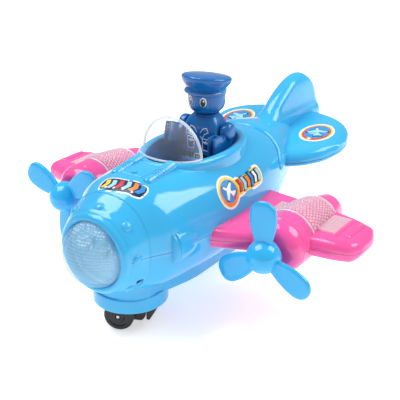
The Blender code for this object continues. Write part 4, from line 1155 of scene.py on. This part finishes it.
def saddle():
    """The band that clasps the pod's back, with a lobe down each side at its front."""
    loops = []
    for t, lift in ((0.0, -0.6), (0.0, 0.3), (0.008, 0.75), (0.02, 1.15), (0.036, 1.5),
                    (0.07, 1.9), (0.11, 2.1), (0.15, 2.2), (0.18, 2.2), (0.22, 2.2),
                    (0.28, 2.2), (0.37, 2.2), (0.48, 2.2), (0.61, 2.2), (0.75, 2.2),
                    (0.88, 2.2), (1.0, 2.2)):
        rise = 10.5 + 7.0 * step(t, 0.14, 0.21) + 6.0 * (1 - step(t, 0.0, 0.07)) ** 2
        edge = math.radians(rise)
        angles = np.linspace(edge, math.pi - edge, 61)
        low = [0.45 if k in (0, 60) else (0.85 if k in (1, 59) else 1.0) for k in range(61)]
        outer, inner = [], []
        for a, w in zip(angles, low):
            y = saddle_front(a) + (170.0 - saddle_front(a)) * t
            outer.append(pod_point(y, a, lift * w if lift > 0 else lift))
            inner.append(pod_point(y, a, -1.0))
        loops.append(outer + inner[::-1])
    return rings(loops)


def fin():
    front, rear, deep = (curve(FIN, column) for column in (1, 2, 3))
    loops = []
    heights = list(np.linspace(60.0, 98.0, 30)) + [99.4, 100.6, 101.6, 102.4, 103.0, 103.5, 103.9]
    for z in heights:
        mid, half = (front(z) + rear(z)) / 2, (rear(z) - front(z)) / 2
        loop = []
        for k in range(72):
            y, x = slab(2 * math.pi * (k + 0.5) / 72, half, deep(z), TAIL_NOSE, 2.2)
            y += mid
            base = max(SEAM_Z + pod_top(min(y, 170.0)) + 2.2 if y < 172 else 0.0,
                       plane_height(y) + 5.0)
            near = min(max(1 - (z - base + 0.6) / 8.0, 0.0), 1.0)
            x += math.copysign(2.4 * near ** 2, x)
            y -= 3.0 * near ** 2 * step(mid - y, half - TAIL_NOSE, half)
            loop.append((x, y, z))
        loops.append(loop)
    return rings(loops)


def make_tail():
    parts = [fin(), saddle()] + [tailplane(side, 0.0, 1.0, 0.1) for _, side in SIDES]
    piece("tail_moulding", merge(*parts), SKY, stands_for=["tail_upper"], sharp=40.0)
    for label, side in SIDES:
        under = piece(f"tailplane_under_{label}", tailplane(side, -0.5, 0.0, -0.35), SKY,
                      stands_for=[f"tailplane_lower_{label}"], sharp=40.0)
        inner = mirrored(box(-2.0, 6.9, 100.0, 220.0, 30.0, 90.0), side)
        cut(under, inner)


# ---------------------------------------------------------------- drive unit and wheels

DRIVE_TURN = math.radians(22.0)
WHEEL_R, TRAIL = 8.6, -3.7      # the drive axle trails the swivel's axis


def unit(shape):
    """Map x = across, y = along the axle, z = up into the design frame."""
    c, s = math.cos(DRIVE_TURN), math.sin(DRIVE_TURN)
    return [(s * y + c * x, -c * y + s * x, z) for x, y, z in shape[0]], shape[1]


def wheel_profile(near, far, hub):
    tread = [(WHEEL_R - 1.4, near), (WHEEL_R - 0.4, near + 0.3), (WHEEL_R, near + 1.1)]
    middle = (near + far) / 2
    for k in (-1, 0, 1):
        y = middle + 1.1 * k
        tread += [(WHEEL_R, y - 0.3), (WHEEL_R - 0.35, y - 0.12), (WHEEL_R - 0.35, y + 0.12),
                  (WHEEL_R, y + 0.3)]
    tread += [(WHEEL_R, far - 1.1), (WHEEL_R - 0.4, far - 0.3), (WHEEL_R - 1.4, far)]
    face = [(6.0, far), (5.6, far - 0.5), (3.6, far - 0.6), (3.2, far + 0.1), (hub, far + 0.2)]
    back = [(hub, near), (5.0, near)]
    return tread + face + back


def make_drive():
    table = [(2.4, 18.5), (17.8, 18.4), (18.6, 19.0), (18.6, 21.0), (18.0, 21.4), (7.2, 21.5),
             (7.2, 25.2), (2.4, 25.2)]
    frame_shapes = [lathe(soften(table, 0.3, 3, True), steps=80, wrap=True)]
    for sign in (1, -1):
        outline = soften([(-11.0, 3.8), (-8.6, 3.6), (8.0, 3.6), (10.0, 6.0), (10.0, 18.8),
                          (-11.0, 18.8)], 1.4, 4, True)
        low, high = sorted((sign * 4.6, sign * 6.6))
        frame_shapes.append(pillow(outline, low, high, 0.35, "y"))
    shapes = [frame_shapes[0]] + [unit(s) for s in frame_shapes[1:]]
    body = piece("drive_frame", merge(*shapes), BLACK, "drive_unit",
                 ["drive_turntable"])
    cut(body, unit(lathe([(1.7, -9.0), (1.7, 9.0)], (TRAIL, 0, WHEEL_R), "y", 24)))
    side_view = soften([(10.5, 4.4), (12.4, 4.4), (18.0, 14.2), (18.0, 18.0), (10.5, 18.0)],
                       0.9, 4, True)
    piece("drive_gearbox", unit(pillow(side_view, -6.6, 6.6, 0.6, "y")), BLACK, "drive_unit",
          ["gearbox_cover"])
    for label, side in SIDES:
        profile = [(r, side * y) for r, y in soften(wheel_profile(8.6, 13.6, 1.55), 0.15, 2, True)]
        piece(f"drive_tyre_{label}", unit(lathe(profile, (TRAIL, 0, WHEEL_R), "y", 72, wrap=True)),
              TYRE, "drive_wheels", [f"drive_wheel_{label}"], sharp=42.0)
        stub = [(0.0, side * 8.0), (1.2, side * 8.0), (1.2, side * 13.3), (0.9, side * 13.9),
                (0.0, side * 14.1)]
        piece(f"drive_axle_end_{label}", unit(lathe(stub, (TRAIL, 0, WHEEL_R), "y", 24)), STEEL,
              "drive_wheels")
        profile = [(r, side * y) for r, y in soften(wheel_profile(17.5, 23.5, 1.8), 0.15, 2, True)]
        tyre = lathe(profile, (0, REAR_AXLE_Y, WHEEL_R), "x", 72, wrap=True)
        piece(f"rear_tyre_{label}", tyre, TYRE, "rear_wheels",
              [f"rear_wheel_{label}"], sharp=42.0)
    lo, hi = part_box("switch_knob")
    x0, x1, z0, z1 = lo.x / MM, hi.x / MM, lo.z / MM, hi.z / MM
    y0, y1 = lo.y / MM + MID_Y, hi.y / MM + MID_Y
    knob = pillow(oblong(x0, x1, y0, y1, 0.6), z0, z1, 0.25)
    piece("switch_button", knob, RED, "power_switch", ["switch_knob"])


# ---------------------------------------------------------------- stickers

SIDE_Y, SIDE_ANGLE = 47.5, math.radians(27.0)    # middle of the side sticker's round part


def side_place(side):
    def place(u, v, lift):
        """u runs to the rear and v upward round the pod, from the middle of the round part."""
        y = SIDE_Y + u
        angle = SIDE_ANGLE + v * 1.17 / 39.0
        p, normal = pod_frame(y, angle)[:2]
        q = p + normal * lift
        return (side * q[0], q[1], q[2])
    return place


def tail_place(side):
    def place(u, v, lift):
        """u runs outward and v to the rear, from the middle of the tailplane's sticker."""
        x, y = 31.0 + u, 161.0 + v
        past = max(plane_front(x) + TAIL_NOSE - y, y - plane_rear(x) + TAIL_NOSE, 0.0) / TAIL_NOSE
        z = plane_deep(x) * (1 - min(past, 0.999) ** 2.3) ** (1 / 2.3)
        return (side * x, y, plane_height(y) + z + 0.1 + lift)
    return place


def star(u, v, outer, inner, points=5, turn=0.0):
    return [(u + (outer if k % 2 == 0 else inner) * math.sin(turn + math.pi * k / points),
             v + (outer if k % 2 == 0 else inner) * math.cos(turn + math.pi * k / points))
            for k in range(2 * points)]


def plane_mark(u, v, size, turn):
    """Outline of a plain little aeroplane seen from above."""
    half = [(0.0, 1.0), (0.12, 0.86), (0.15, 0.42), (0.95, 0.08), (0.95, -0.14), (0.16, -0.06),
            (0.12, -0.55), (0.40, -0.78), (0.40, -0.92), (0.0, -0.84)]
    outline = half + [(-x, y) for x, y in half[-2:0:-1]]
    c, s = math.cos(turn), math.sin(turn)
    return [(u + size * (c * x - s * y), v + size * (s * x + c * y)) for x, y in outline]


def smooth_outline(points, radius=1.2):
    return soften(points, radius, 5, True)


def sticker(name, place, layers):
    """Layers of (outline, ink), each a hair above the one before."""
    by_ink = {}
    for k, (outline, ink) in enumerate(layers):
        shape = print_patch(place, outline, 0.12 + 0.05 * k, 9)
        by_ink.setdefault(ink, []).append(shape)
    for ink, shapes in by_ink.items():
        piece(f"{name}_{ink.name.split('_', 1)[1]}", merge(*shapes), ink,
              sharp=60.0)


def make_stickers():
    for label, side in SIDES:
        ring = [(oval(0, 0, 11.0, 14.6, 48), WHITE_INK), (oval(0, 0, 9.9, 13.4, 48), YELLOW_INK),
                (oval(0, -0.4, 8.9, 12.0, 48), RED_INK), (oval(0, 0.5, 7.7, 10.4, 48), BLUE_INK),
                (oval(-2.6, -1.8, 3.4, 2.0, 24), PALE_INK),
                (oval(2.8, 2.6, 2.8, 1.7, 24), PALE_INK),
                (plane_mark(0, 0.6, 8.2, 0.5), DARK_INK), (plane_mark(0, 0.6, 7.0, 0.5), PALE_INK),
                (star(0, -11.2, 1.7, 0.8), WHITE_INK)]
        sticker(f"tail_sticker_{label}", tail_place(side), ring)

        bar = smooth_outline([(4.0, -5.9), (30.0, -6.6), (36.4, -5.8), (37.6, 0.2), (35.4, 6.2),
                              (5.0, 5.4)], 4.0)
        inner = smooth_outline([(4.0, -4.8), (30.0, -5.5), (35.4, -4.8), (36.4, 0.2), (34.4, 5.0),
                                (5.0, 4.3)], 3.4)
        layers = [(bar, WHITE_INK), (oval(0, 0, 9.9, 9.7, 48), WHITE_INK), (inner, YELLOW_INK),
                  (oval(0, 0, 8.8, 8.6, 48), YELLOW_INK), (oval(0, -0.6, 7.9, 7.6, 48), ORANGE_INK),
                  (oval(0, 0.4, 7.0, 6.6, 48), BLUE_INK),
                  (plane_mark(0, 0.2, 6.6, 0.9), DARK_INK),
                  (plane_mark(0, 0.2, 5.7, 0.9), WHITE_INK),
                  (oval(2.9, -4.0, 1.2, 1.2, 16), RED_INK)]
        for k, (ink, tall) in enumerate(((RED_INK, 3.4), (PALE_INK, 4.0), (ORANGE_INK, 3.2),
                                         (BLUE_INK, 4.2), (WHITE_INK, 3.4), (PALE_INK, 3.6))):
            u = 11.0 + 4.1 * k
            chip = [(u - 1.9, -tall * 0.9), (u + 0.5, -tall * 0.9), (u + 2.0, 0.1),
                    (u + 0.6, tall), (u - 1.8, tall), (u - 0.4, 0.1)]
            layers.append((smooth_outline([(u + (a - u) * 1.22, b * 1.14) for a, b in chip], 0.5),
                           DARK_INK))
            layers.append((smooth_outline(chip, 0.5), ink))
        sticker(f"side_sticker_{label}", side_place(side), layers)

    border = smooth_outline([(-9.4, -13.6), (-2.0, -14.1), (5.0, -12.6), (10.0, -11.0),
                             (12.4, -11.2), (16.6, -9.2), (17.2, -3.6), (15.2, -0.3),
                             (8.0, -0.6), (2.0, -2.6), (-4.0, -3.0), (-9.4, -4.2),
                             (-10.6, -8.4)], 1.6)
    inner = [tuple(p) for p in inset(border, 0.9)]
    layers = [(border, WHITE_INK), (inner, DARK_INK)]
    chips = ((-6.6, -8.8, YELLOW_INK), (-2.6, -8.6, PALE_INK), (1.6, -7.8, RED_INK),
             (5.8, -6.6, PALE_INK), (9.8, -5.8, ORANGE_INK), (13.6, -5.0, BLUE_INK))
    for u, v, ink in chips:
        arrow = [(u - 2.2, v - 3.2), (u + 0.3, v - 3.0), (u + 2.0, v + 0.2), (u + 0.7, v + 3.4),
                 (u - 1.8, v + 3.0), (u - 0.5, v)]
        layers.append((smooth_outline(arrow, 0.5), ink))
    for u, v in ((-4.9, -11.6), (0.2, -11.0), (5.4, -10.0), (10.6, -9.0)):
        layers.append((star(u, v, 0.9, 0.42), WHITE_INK))
    sticker("nose_sticker", top_point, layers)


# ---------------------------------------------------------------- carried-over nodes

def finish_nodes():
    """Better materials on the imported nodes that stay: inner works, screws, pins and axles."""
    mats = {
        STEEL: ("propeller_pin_left", "propeller_pin_right", "drive_axle", "drive_shaft",
                "rear_axle", "contact_front", "contact_rear", "battery_door_screw",
                "shell_screw_1", "shell_screw_2", "drive_motor"),
        NATURAL: ("swivel_retainer", "axle_gear", "shaft_gear"),
        LAMP: ("wing_lamp_left", "wing_lamp_right", "motor_pinion"),
        CELL: ("battery_cell_1", "battery_cell_2", "battery_cell_3"),
        BOARD: ("circuit_board",),
        BLACK: ("speaker", "switch_body"),
        SKY: ("battery_box",),
    }
    for mat, names in mats.items():
        for name in names:
            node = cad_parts[name]
            if not node.hide_render:
                node.data.materials.clear()
                node.data.materials.append(mat)


# ---------------------------------------------------------------- studio

# the camera's direction, place and lens, matched to the photograph's viewing angle
AZIMUTH, ELEVATION = math.radians(34.57), math.radians(23.38)
CAMERA_AT = (0.2732, -0.4129, 0.2579)
LENS_MM = 76.96
BACK = Vector((math.sin(AZIMUTH) * math.cos(ELEVATION), -math.cos(AZIMUTH) * math.cos(ELEVATION),
               math.sin(ELEVATION)))
RIGHT = Vector((math.cos(AZIMUTH), math.sin(AZIMUTH), 0.0))
UP = BACK.cross(RIGHT)


def softbox(name, right, up, back, distance, size, power):
    """An area light in a direction given by the viewer's right, up and back."""
    data = bpy.data.lights.new(name, "AREA")
    data.shape = "RECTANGLE"
    data.size, data.size_y = size, size
    data.energy = power
    light = bpy.data.objects.new(name, data)
    bpy.context.scene.collection.objects.link(light)
    away = (RIGHT * right + UP * up + BACK * back).normalized()
    light.location = Vector((0, 0, 0.06)) + away * distance
    light.rotation_euler = away.to_track_quat("Z", "Y").to_euler()


def make_studio():
    scene = bpy.context.scene
    floor_mesh = bpy.data.meshes.new("floor")
    reach = 8.0
    floor_mesh.from_pydata([(-reach, -reach, 0), (reach, -reach, 0), (reach, reach, 0),
                            (-reach, reach, 0)], [], [(0, 1, 2, 3)])
    floor = bpy.data.objects.new("floor", floor_mesh)
    scene.collection.objects.link(floor)
    floor.location.z = -0.0002
    mat, tree, shader = new_material("paper_floor")
    tree.links.new(mix_colour(tree, noise(tree, 3.0), (0.93, 0.93, 0.93, 1), (0.96, 0.96, 0.96, 1)),
                   shader.inputs["Base Color"])
    shader.inputs["Roughness"].default_value = 0.9
    shader.inputs["Specular IOR Level"].default_value = 0.1
    shader.inputs["Emission Color"].default_value = (1.0, 1.0, 1.0, 1.0)
    shader.inputs["Emission Strength"].default_value = 0.55
    floor_mesh.materials.append(mat)

    world = bpy.data.worlds.new("studio")
    world.use_nodes = True
    world.node_tree.nodes["Background"].inputs[0].default_value = (1.0, 1.0, 1.0, 1.0)
    world.node_tree.nodes["Background"].inputs[1].default_value = 0.36
    scene.world = world
    scene.view_settings.view_transform = "Standard"

    softbox("key_overhead", right=-0.45, up=0.84, back=0.30, distance=0.95, size=0.62, power=8.0)
    softbox("key_right", right=0.71, up=0.64, back=0.29, distance=0.95, size=0.55, power=6.0)

    data = bpy.data.cameras.new("camera")
    data.sensor_width = 36.0
    data.lens = LENS_MM
    camera = bpy.data.objects.new("camera", data)
    scene.collection.objects.link(camera)
    camera.location = CAMERA_AT
    camera.rotation_euler = BACK.to_track_quat("Z", "Y").to_euler()
    scene.camera = camera


make_fuselage()
make_belly()
make_nose()
make_cockpit()
make_figure()
make_head()
make_arms()
make_wings()
make_propellers()
make_tail()
make_drive()
make_stickers()
finish_nodes()
make_studio()
